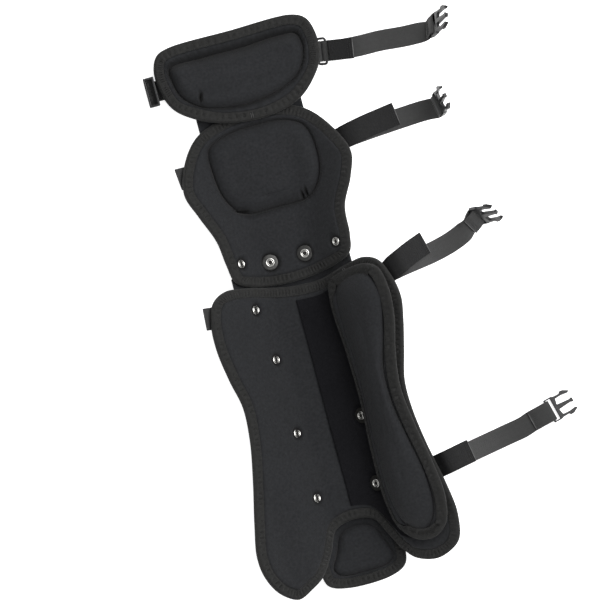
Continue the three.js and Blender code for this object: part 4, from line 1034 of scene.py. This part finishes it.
def make_stitches(name, start, end, up, rise, radius, slot, material):
    """One piece of many stitches."""
    points = thread_points(start, end, up, rise, radius)
    count = len(points)
    first = THREAD_STEPS * THREAD_SIDES * np.arange(count)[:, None, None]
    tube = grid_faces(numbered(THREAD_STEPS, THREAD_SIDES, columns_close=True))
    faces = (first + tube).reshape(-1, 4)
    cap = np.arange(THREAD_SIDES)
    caps = np.concatenate([first[:, 0] + cap, first[:, 0] + (THREAD_STEPS - 1) * THREAD_SIDES + cap[::-1]])
    corners = np.zeros((len(faces), 4, 2))
    put_piece(name, points, faces, corners, [material], caps=caps.tolist())
    print(name, count, "stitches")


# %% Tapes
ROUGH_CELLS = 40
TAPE_STEP = 2.7
ZIGZAG_IN = 2.4
ZIGZAG_OUT = 0.5
ZIGZAG_SINK = 0.25
ZIGZAG_FOOT = 0.2
ZIGZAG_RISE = 0.45
STITCH_RADIUS = 0.24


def make_tape(name, node):
    """The ribbed tape of one pad and the zigzag that holds its inner edge."""
    face = FACES[name]
    rough_length = lengths_along(stations_of(name, ROUGH_CELLS, ROUGH_CELLS)[0])[-1]
    across = round(rough_length / TAPE_STEP)
    at, inward = stations_of(name, across, across)
    run = lengths_along(np.vstack([at, at[:1]]))
    length = run[-1]
    feet = tape_feet(name, at, inward, length)
    index = numbered(len(feet), len(at), rows_close=True, columns_close=True)
    faces = grid_faces(index)
    girth = np.append(0, np.cumsum(np.hypot(*np.diff(np.c_[feet[:, 0, 2], feet[:, 0, 0]], axis=0).T)))
    girth = np.append(girth, girth[-1] + TAPE_THICK)
    uv = np.stack(np.broadcast_arrays(run[None, :], girth[:, None]), axis=-1) * MM
    points = raised(face, feet)
    put_piece(node + "_ribbed", points, faces, grid_faces(uv), [tape], nodes=[node])
    count = 2 * round(length / RIB_PITCH)
    pick = np.linspace(0, len(at), count, endpoint=False).astype(int)
    after = np.roll(pick, -1)
    high = BORDER_THICK[name] + GAP + TAPE_THICK
    low = BORDER_THICK[name] + ZIGZAG_FOOT
    width = tape_width(name, at)
    near = feet_at(ring_inside(face, at, inward, width - ZIGZAG_IN), high - ZIGZAG_SINK)
    far = feet_at(ring_inside(face, at, inward, width + ZIGZAG_OUT), low)
    odd = np.arange(count)[:, None] % 2 == 1
    start = raised(face, np.where(odd, far[pick], near[pick]))
    end = raised(face, np.where(odd, near[after], far[after]))
    up = raised(face, near[pick] + [0, 0, 1]) - raised(face, near[pick])
    make_stitches(name + "_zigzag", start, end, up, ZIGZAG_RISE, STITCH_RADIUS, "edge_tape", thread)
    print(node, len(faces), "faces")


for name in OUTLINES:
    make_tape(name, name + "_binding")

# %% Tape joins
JOIN_CELLS = 200
JOIN_GAP = 2.2
JOIN_ENDS = (3.0, 9.5)
JOIN_RISE = 0.1
JOIN_RADIUS = 0.3
JOINS = (("thigh", (7, 347)), ("shin", (68, 144)))

for name, seen in JOINS:
    face = FACES[name]
    at, inward = stations_of(name, JOIN_CELLS, JOIN_CELLS)
    near = np.linalg.norm(at - seen, axis=1).argmin()
    along = np.array([-inward[near, 1], inward[near, 0]]) * JOIN_GAP / 2
    places = at[near] + np.array([along, -along])
    ways = np.repeat(inward[near][None], 2, axis=0)
    high = BORDER_THICK[name] + GAP + TAPE_THICK
    start, end = (feet_at(ring_inside(face, places, ways, inset), high) for inset in JOIN_ENDS)
    up = raised(face, start + [0, 0, 1]) - raised(face, start)
    # The join marks take the same lighter grey, partly a painted highlight.
    make_stitches(name + "_tape_join", raised(face, start), raised(face, end), up, JOIN_RISE, JOIN_RADIUS,
                  "edge_tape", sealed_and_highlit)

# %% [markdown]
# ## Loop strip and cloth links
# A strip of loop pile covers the strap side of the shin, and the wing pad's back sticks to it. Two plain
# cloth links join the pads behind the joints. All three are cut sheets that lie on the trough: a grid of
# feet, raised once for the lower side and once more, by the cloth's thickness, for the upper.

# %% Sheet builder
LINK_THICK = 2


def make_sheet(node, face, feet, thick, material):
    """A closed sheet on a grid of feet, with UVs from the flattened cloth."""
    rows, columns = feet.shape[:2]
    low = raised(face, feet)
    high = raised(face, feet + [0, 0, 1] * np.broadcast_to(thick, (rows, columns))[..., None])
    index = numbered(rows, columns)
    rim = np.concatenate([index[0, :-1], index[:-1, -1], index[-1, :0:-1], index[:0:-1, 0]])
    wall = np.stack([np.append(rim, rim[0]), np.append(rim, rim[0]) + rows * columns])
    turned = np.concatenate([grid_faces(index + rows * columns), grid_faces(wall)])[:, ::-1]
    faces = np.concatenate([grid_faces(index), turned])
    uv = np.tile(cloth_uv(feet[..., 0], feet[..., 1]).reshape(-1, 2), (2, 1))
    points = np.concatenate([low.reshape(-1, 3), high.reshape(-1, 3)])
    piece = put_piece(node + "_cut", points, faces, uv[faces], [material], nodes=[node])


# %% Loop strip
STRIP_INSET = 17.0
STRIP_COLUMNS = 70
STRIP_LEFT = 0.5
STRIP_RIGHT = 0.93
STRIP_CORNER = -120
CORNER_SHARE = 0.15
CORNER_RAMP = (45, 75)
FUZZ = 0.25
FUZZ_WAVES = (2.1, 1.7)

across, along = CELLS["shin"]
at, inward = stations_of("shin", across, along)
quilt_ring = ring_inside(FACES["shin"], at, inward, STRIP_INSET)
patch = coons(feet_at(quilt_ring, 0), across, along)
share = np.linspace(STRIP_LEFT, STRIP_RIGHT, STRIP_COLUMNS)
column = share * across
left = np.floor(column).astype(int)
strip = patch[:, left] + (patch[:, left + 1] - patch[:, left]) * (column - left)[None, :, None]
strip[..., 0] -= strip[:, :1, 0] * ((STRIP_RIGHT - share) / (STRIP_RIGHT - STRIP_LEFT))[None, :]
# The strip's corner under the wing pad's lower end is drawn up only a little, so a crescent of its dark pile
# shows below the wing pad: partly the strip's own pile, partly painted shade of the wing pad.
below = np.minimum(strip[..., 1] - STRIP_CORNER, 0)
strip[..., 1] -= CORNER_SHARE * below * eased(strip[..., 0], *CORNER_RAMP)
strip[..., 2] = QUILT_THICK + GAP
slanted = np.sin(strip[..., 1] * FUZZ_WAVES[1] + np.sin(strip[..., 0]))
fuzz = FUZZ * np.sin(strip[..., 0] * FUZZ_WAVES[0]) * slanted
strip[..., 2] = dimpled("shin", strip)[0]
make_sheet("loop_strip", FACES["shin"], strip, PILE_THICK - FUZZ + fuzz, pile)

# %% Cloth links
LINK_ROWS = 30
LINK_COLUMNS = 60

for node, (left, right), (bottom, top) in (
    ("thigh_link", (-60, 69), (318, 400)),
    ("knee_link", (-69, 77), (129, 164)),
):
    y = np.linspace(bottom, top, LINK_ROWS)[:, None]
    x = np.linspace(left, right, LINK_COLUMNS)[None, :]
    feet = np.stack(np.broadcast_arrays(x, y, 0.0), axis=-1)
    make_sheet(node, FACES["link"], feet, LINK_THICK, lining)

# %% [markdown]
# ## Webbing
# The straps are 25 mm woven webbing. Three are sewn under a pad's outer face and fall from the standing wing
# to the floor, and the thigh strap hangs in a ring. Each one goes round the bar of its buckle and back over
# itself. The path is a curve through a few rows, and the section is a flat superellipse, which gives the
# rounded selvedges. The rows repeat the solids', so the straps lie where the solids do.

# %% Strap frames
WEB_WIDTH = 25
WEB_THICK = 1.5
UNDER_FACE = 2.85
TAB_LIFT = 2.7
TAB_ROOM = 3.3
BUCKLE_THICK = 4.4
BUCKLE_BAR = 2.4
LOOP_SLACK = 0.7
LOOP_WAIST = 2.4


def turn_of(yaw, pitch, roll):
    """Rotation that tips by roll, noses up by pitch and then turns by yaw, in degrees."""
    a, b, c = (radians(angle) for angle in (yaw, -pitch, roll))
    about_z = np.array([[np.cos(a), -np.sin(a), 0], [np.sin(a), np.cos(a), 0], [0, 0, 1]])
    about_y = np.array([[np.cos(b), 0, np.sin(b)], [0, 1, 0], [-np.sin(b), 0, np.cos(b)]])
    about_x = np.array([[1, 0, 0], [0, np.cos(c), -np.sin(c)], [0, np.sin(c), np.cos(c)]])
    return about_z @ about_y @ about_x


def sewn_rows(pad, rows):
    """Webbing under a pad's outer face: its middle below the tape, less a drop, its width along the face."""
    x, y, drop = np.array(rows, float).T
    at = raised(FACES[pad], np.stack([x, y, -UNDER_FACE - drop], axis=-1))
    slope = steepness(FACES[pad], x, y)[1]
    return np.concatenate([at, np.stack([np.zeros_like(x), np.ones_like(x), slope], axis=-1)], axis=1)


def level_rows(points):
    """Free webbing: its width lies level, square to the way between the neighbouring rows."""
    at = np.array(points, float)
    count = np.arange(len(at))
    way = at[np.minimum(count + 1, len(at) - 1)] - at[np.maximum(count - 1, 0)]
    return np.concatenate([at, np.stack([-way[:, 1], way[:, 0], 0 * way[:, 0]], axis=-1)], axis=1)


def posed_rows(pose, rows):
    """Rows (u, w) in a fitting's own frame: u along it, w above it, the webbing's width across it."""
    place, turn = pose
    local = np.array([[u, 0, w] for u, w in rows], float)
    return np.concatenate([local @ turn.T + place, np.tile(turn[:, 1], (len(rows), 1))], axis=1)


def bar_loop(pose, back, hinge):
    """The webbing's way under a buckle's bar and back over itself, in the buckle's frame turned by hinge."""
    place, turn = pose
    out = BUCKLE_THICK / 2 + GAP + WEB_THICK / 2
    round_bar = out if hinge else BUCKLE_BAR / 2 + WEB_THICK / 2 + LOOP_SLACK
    coming = [(-back, -TAB_LIFT / 2), (-back / LOOP_WAIST, -out)]
    under = coming + [(-GAP, -out - GAP), (round_bar, 2 * GAP - out)]
    over = [(u, -w) for u, w in under[::-1]]
    return posed_rows((place, turn @ turn_of(0, -hinge, 0)), under + [(round_bar + 2 * GAP, 0)] + over)


# %% Ribbons
ROW_STEPS = 16
WEB_STEP = 1.2
LEAST_STEPS = 8
WEB_SIDES = 28
ACROSS_POWER = 8
THROUGH_POWER = 10 / 3
BEAD_RADIUS = 0.55
BEAD_SHORT = 0.4
TACK_COUNT = 10
TACK_MARGIN = 2.5
TACK_BACK = (3.5, 6.0)
TACK_HALF = 0.8
TACK_LIFT = 0.05
TACK_RISE = 0.3
TACK_RADIUS = 0.26
TAB_ROWS = 6


def frames_along(rows):
    """Middle, width and upper ways along rows: the width is square to the path, the upper is their cross."""
    middle = curve_through(rows[:, :3], False, ROW_STEPS)
    width = curve_through(unit(rows[:, 3:]), False, ROW_STEPS)
    way = unit(np.gradient(middle, axis=0))
    width = unit(width - way * np.einsum("ij,ij->i", width, way)[:, None])
    return middle, width, np.cross(way, width)


def make_ribbon(node, rows, width, material):
    """A flat strip along rows: its section is a superellipse, of power 8 across and 10/3 through."""
    middle, side, up = frames_along(rows)
    run = lengths_along(middle)
    count = max(round(run[-1] / WEB_STEP), LEAST_STEPS)
    even = evenly(np.concatenate([middle, side, up], axis=1), run, count)
    middle, side, up = even[:, :3], even[:, 3:6], even[:, 6:]
    angle = TURN * np.arange(WEB_SIDES) / WEB_SIDES
    across = width / 2 * squared_off(np.cos(angle), ACROSS_POWER)
    rise = WEB_THICK / 2 * squared_off(np.sin(angle), THROUGH_POWER)
    points = middle[:, None] + across[None, :, None] * side[:, None] + rise[None, :, None] * up[:, None]
    index = numbered(count, len(angle), columns_close=True)
    faces = grid_faces(index)
    u = np.linspace(0, run[-1], count)[:, None]
    v = np.append(across + np.sign(rise) * (width + WEB_THICK), across[0])[None, :]
    uv = np.stack(np.broadcast_arrays(u, v), axis=-1) * MM
    caps = [index[0, :-1][::-1].tolist(), index[-1, :-1].tolist()]
    put_piece(node + "_woven", points, faces, grid_faces(uv), [material], caps=caps, nodes=[node])
    print(node, round(float(run[-1])), "mm of webbing")
    return middle, side, up


def finish_end(node, frames, width, slot):
    """The webbing's last end: a melted bead across the cut, its lighter grey partly a painted highlight, and
    two rows of lock stitches behind it.
    """
    middle, side, up = frames
    ahead = np.cross(side[-1], up[-1])
    up = up * np.sign(up[-1, 2])
    top = middle[-1] + up[-1] * WEB_THICK / 2
    reach = side[-1] * (width / 2 - BEAD_SHORT)
    ends = (top - reach)[None], (top + reach)[None]
    make_stitches(node + "_sealed", *ends, up[-1:], 0, BEAD_RADIUS, slot, sealed_and_highlit)
    share = np.linspace(-1, 1, TACK_COUNT)[:, None]
    row = top + up[-1] * TACK_LIFT + share * side[-1] * (width / 2 - TACK_MARGIN)
    rows = np.concatenate([row - ahead * back for back in TACK_BACK])
    half = side[-1] * TACK_HALF
    ups = np.repeat(up[-1:], len(rows), axis=0)
    make_stitches(node + "_tacked", rows - half, rows + half, ups, TACK_RISE, TACK_RADIUS, slot, thread)


def finished_ribbon(node, rows, width, material, slot):
    """A ribbon whose last end is melted shut with a bead and tacked."""
    finish_end(node, make_ribbon(node, rows, width, material), width, slot)


def tab_rows(rows, start, end, swing):
    """The folded-back end: the strap's rows from start to end, one layer above, swinging to one side."""
    middle, side, up = frames_along(rows)
    share = np.linspace(0, 1, TAB_ROWS)
    pick = np.round((start + (end - start) * share) * ROW_STEPS).astype(int)
    at = middle[pick] + TAB_LIFT * up[pick] + swing * share[:, None] * side[pick]
    return np.concatenate([at, side[pick]], axis=1)


# %% Straps
STRAPS = {
    "ankle": dict(
        pad="shin", sewn=[(88, -119, 0), (108, -117, TAB_ROOM)],
        free=[(128, -114, 72), (146, -111, 61), (174, -106.5, 32), (204, -101.5, 8), (224, -98, 4)],
        buckle=((260, -88, 4.6), turn_of(14, 0, 0)), fold=(24, 0), tab=(0.9, 3.3, 1, 28)),
    "calf": dict(
        pad="shin", sewn=[(94, 120, 0), (112, 124, TAB_ROOM)],
        free=[(131, 127, 82), (148, 129.5, 70), (174, 133.5, 40), (197, 139.2, 24), (212, 145, 19.5)],
        buckle=((235.6, 161.6, 14), turn_of(-3, 38, 48)), fold=(16, 68), tab=(1.05, 3.72, 14.4, 28)),
    "knee": dict(
        pad="knee", sewn=[(80, 292, 0), (98, 293.5, TAB_ROOM)],
        free=[(117, 294.4, 38), (137, 296.2, 31), (164, 298.2, 12), (188, 299.7, 3.4), (203, 300.5, 3.6),
              (214, 300.4, 7.6)],
        buckle=((226, 302.5, 27), turn_of(42, 64, -34)), fold=(10, 0), tab=(0.9, 4.4, 7, 28)),
}
for name, strap in STRAPS.items():
    rows = np.vstack([
        sewn_rows(strap["pad"], strap["sewn"]),
        level_rows(strap["free"]),
        bar_loop(strap["buckle"], *strap["fold"]),
    ])
    finished_ribbon(name + "_strap", rows, WEB_WIDTH, webbing, "webbing")
    start, end, swing, width = strap["tab"]
    tab = tab_rows(rows, start, end, swing)
    finished_ribbon(name + "_hook_tab", tab, width, hooks, "hook_tape")

# %% Thigh strap and its ring
RING_LONG = 34
RING_WIDE = 14
RING_BAR = 3
THIGH_FOLD = 33
RING_POSE = (np.array([107.5, 401, 12.6]), turn_of(-9, 8, 0))
THIGH_BUCKLE = ((244, 396, 18), turn_of(25, 47, -47))
THIGH_BACK = 11
LOOSE_FOLD = 1.1

ring_bar = RING_WIDE / 2 - RING_BAR / 2
clear = RING_BAR / 2 + WEB_THICK / 2 + 2 * GAP


def round_ring_bar(way):
    """Rows from over a bar of the ring to under it; way is 1 for the right bar and -1 for the left."""
    inside = way * LOOSE_FOLD
    return [
        (way * ring_bar, clear + GAP), (inside, clear - 2 * GAP), (inside - way * GAP, 0),
        (inside, 2 * GAP - clear), (way * ring_bar, -clear - GAP),
    ]


folded = [(ring_bar + THIGH_FOLD, clear), (ring_bar + THIGH_FOLD / 2, clear)]
rows = np.vstack([
    posed_rows(RING_POSE, folded + round_ring_bar(1) + [(ring_bar + THIGH_FOLD / 2, -clear)]),
    level_rows([(152, 395.8, 13), (178, 395.4, 8), (206, 393, 7), (222, 392.4, 7.6)]),
    bar_loop(THIGH_BUCKLE, THIGH_BACK, 0),
])
finished_ribbon("thigh_strap", rows, WEB_WIDTH, webbing, "webbing")
hook_ends = [(ring_bar + RING_BAR, clear + TAB_LIFT), (ring_bar + THIGH_FOLD, clear + TAB_LIFT)]
finished_ribbon("thigh_hook_tab", posed_rows(RING_POSE, hook_ends), WEB_WIDTH, hooks, "hook_tape")
held = posed_rows(RING_POSE, round_ring_bar(-1)[::-1])
rows = np.vstack([sewn_rows("thigh", [(76, 404, 0), (90, 403, 0.6)]), held])
make_ribbon("thigh_ring_tab", rows, WEB_WIDTH, webbing)

# %% Socket tab and anchor tabs
SOCKET_AT = np.array([-103, 406, 0.6])
SOCKET_BASE = 3
ANCHOR_WIDTH = 27

reach = SOCKET_BASE / 2 + WEB_THICK / 2 + 2 * GAP
middle = SOCKET_AT + [0, 0, SOCKET_BASE / 2]
hooked = middle + np.array([
    [2 * reach, 0, reach + GAP], [reach / 2, 0, reach + 2 * GAP], [-reach / 2, 0, reach + 2 * GAP],
    [-reach - GAP, 0, reach / 2],
])
rows = np.vstack([
    sewn_rows("thigh", [(-66, 406, 0), (-84, 406, 0.6)]),
    np.concatenate([hooked, np.tile([0.0, 1.0, 0.0], (len(hooked), 1))], axis=1),
])
make_ribbon("thigh_socket_tab", rows, WEB_WIDTH, webbing)
for node, pad, sewn in (
    ("knee_anchor_tab", "knee", [(-66, 296, 0), (-82, 296.5, 0), (-97, 297, 0.8)]),
    ("shin_anchor_tab", "shin", [(-80, 122.5, 0), (-96, 124.2, 0), (-109, 125.8, 0.8)]),
):
    make_ribbon(node, sewn_rows(pad, sewn), ANCHOR_WIDTH, webbing)

# %% [markdown]
# ## Moulded buckles
# The buckle halves and the socket are injection mouldings: flat tool faces with small rounded edges. Their
# solids already have the right shape, so a merged copy of each gets a Bevel modifier, which rounds every
# sharp edge. The ring is a round bar carried along a rounded rectangle.

# %% Rounded copies
WELD_REACH = 1e-5
FLAT_ANGLE = 3
SHARP_ANGLE = 20
ROUND_STEPS = 3
BUCKLE_ROUND = 0.7
SOCKET_ROUND = 0.8


def moulded_copy(node, rounding):
    """A copy of a solid with its loose triangles merged and its sharp edges rounded."""
    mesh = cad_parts[node].data.copy()
    mesh.name = node + "_moulded"
    piece = bpy.data.objects.new(node + "_moulded", mesh)
    bpy.context.scene.collection.objects.link(piece)
    mesh.materials.clear()
    mesh.materials.append(plastic)
    weld = piece.modifiers.new("weld", "WELD")
    weld.merge_threshold = WELD_REACH
    flat = piece.modifiers.new("flatten", "DECIMATE")
    flat.decimate_type = "DISSOLVE"
    flat.angle_limit = radians(FLAT_ANGLE)
    bevel = piece.modifiers.new("rounding", "BEVEL")
    bevel.width = rounding * MM
    bevel.segments = ROUND_STEPS
    bevel.limit_method = "ANGLE"
    bevel.angle_limit = radians(SHARP_ANGLE)
    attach(piece, "root")
    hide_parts(node)


for node in ("thigh_buckle", "knee_buckle", "calf_buckle", "ankle_buckle"):
    moulded_copy(node, BUCKLE_ROUND)
moulded_copy("thigh_socket", SOCKET_ROUND)

# %% Ring
RING_POWER = 5


def bar_ring(long, wide, bar, steps=72, sides=14):
    """A round bar along a superellipse of power 5 with the ring's long and wide sides."""
    t = TURN * np.arange(steps) / steps
    path = np.stack([
        (wide - bar) / 2 * squared_off(np.cos(t), RING_POWER),
        (long - bar) / 2 * squared_off(np.sin(t), RING_POWER),
        0 * t,
    ], axis=-1)
    way = np.roll(path, -1, axis=0) - np.roll(path, 1, axis=0)
    out = unit(np.cross(way, [0, 0, 1]))
    angle = TURN * np.arange(sides) / sides
    ring = np.cos(angle)[None, :, None] * out[:, None] + np.sin(angle)[None, :, None] * np.array([0, 0, 1.0])
    return path[:, None] + bar / 2 * ring


place, turn = RING_POSE
points = bar_ring(RING_LONG, RING_WIDE, RING_BAR) @ turn.T + place
faces = grid_faces(numbered(*points.shape[:2], rows_close=True, columns_close=True))
corners = np.zeros((len(faces), 4, 2))
put_piece("thigh_ring_bar", points, faces, corners, [plastic], nodes=["thigh_ring"])
print("ring:", len(faces), "faces")

# %% [markdown]
# ## Rivets and washers
# Tubular rivets go through the padding. On the lined side one sees their tails, rolled outwards into a bright
# ring round a bore, and four of them bear on a washer. The groove between the rolls and the bore take a dark
# metal, which is painted shade, and so do the two washers beside the wing pad. They are lathed: a profile of
# radius and height turned about the normal of the pad.

# %% Lathe
def lathed(face, foot, profile, sides=40):
    """Points of a profile (radius, height) turned about the face's normal at a foot."""
    gx, gy = steepness(face, foot[0], foot[1])
    normal = unit(np.array([-gx, -gy, 1]))
    across = unit(np.cross([0.0, 1.0, 0.0], normal))
    along = np.cross(normal, across)
    angle = TURN * np.arange(sides) / sides
    spoke = np.cos(angle)[:, None] * across + np.sin(angle)[:, None] * along
    r, n = np.array(profile, float).T
    base = raised(face, foot * [1, 1, 0])
    return base + r[:, None, None] * spoke[None] + n[:, None, None] * normal


def make_lathed(node, points, closed, metals, shaded):
    """A lathed piece: a closed profile makes a ring, an open one gets a small flat face at each end.

    The rows of faces marked as shaded take the second metal, and so does the last flat face.
    """
    rows, sides = points.shape[:2]
    index = numbered(rows, sides, rows_close=closed, columns_close=True)
    faces = grid_faces(index)
    caps = [] if closed else [index[0, :-1][::-1].tolist(), index[-1, :-1].tolist()]
    corners = np.zeros((len(faces), 4, 2))
    inner = np.append(np.repeat(shaded, sides), np.arange(len(caps)) == 1)
    put_piece(node + "_turned", points, faces, corners, metals, caps=caps, inner=inner,
              nodes=[node])


# %% Rivets
HEAD_SEAT = 0.9
STEM = 2.6
HEAD = [(0.2, -2.3), (3.2, -2.1), (5.4, -1.6), (6.4, -1.1), (6.4, -HEAD_SEAT), (STEM, -HEAD_SEAT)]
TAIL_FOOT = [(STEM, 0), (5.2, 0)]
GROOVE = [(3.55, 0.15), (3.35, 0.15)]
BORE = [(2.25, 0.15), (2.15, 0), (0.2, 0)]
BEND = np.linspace(0, np.pi, 9)
WASHER_THICK = 0.9
WASHER = [(2.9, 0), (9.2, 0), (9.6, 0.3), (9.5, 0.7), (9.0, 0.9), (7.0, 0.75), (5.9, 0.9), (2.9, 0.9)]


def rolled_edge(radius, lift, wide, high):
    """Half an ellipse, from its outer foot over the top to its inner foot."""
    return np.stack([radius + wide * np.cos(BEND), lift + high * np.sin(BEND)], axis=-1).tolist()


outer_roll = rolled_edge(radius=4.55, lift=0.25, wide=0.95, high=0.95)
inner_roll = rolled_edge(radius=2.8, lift=0.3, wide=0.55, high=0.6)
tail_profile = TAIL_FOOT + outer_roll + GROOVE + inner_roll + BORE
row = np.arange(len(HEAD) + len(tail_profile) - 1)
first_groove = len(HEAD) + len(TAIL_FOOT) + len(outer_roll)
# Rows of the groove and the bore, which take the dark metal as painted shade.
shaded = (np.abs(row - first_groove) <= 1) | (row > len(row) - len(BORE))

for node, (pad, seen, washer) in RIVETS.items():
    face = FACES[pad]
    foot = foot_seen_at(face, np.array(seen, float), RIVET_SEAT)
    tail = RIVET_SEAT + GAP + (WASHER_THICK + GAP if washer else 0)
    profile = HEAD + [(radius, tail + height) for radius, height in tail_profile]
    make_lathed(node, lathed(face, foot, profile), False, [nickel, shaded_dark_metal], shaded)
    if washer:
        ring = [(radius, RIVET_SEAT + GAP + height) for radius, height in WASHER]
        # The knee's washers are dull nickel; those on the shin, beside the wing pad, take the dark metal as
        # painted shade.
        metal = dull_nickel if pad == "knee" else shaded_dark_metal
        make_lathed(washer, lathed(face, foot, ring), True, [metal], np.zeros(len(ring), bool))
print("rivets:", len(RIVETS))
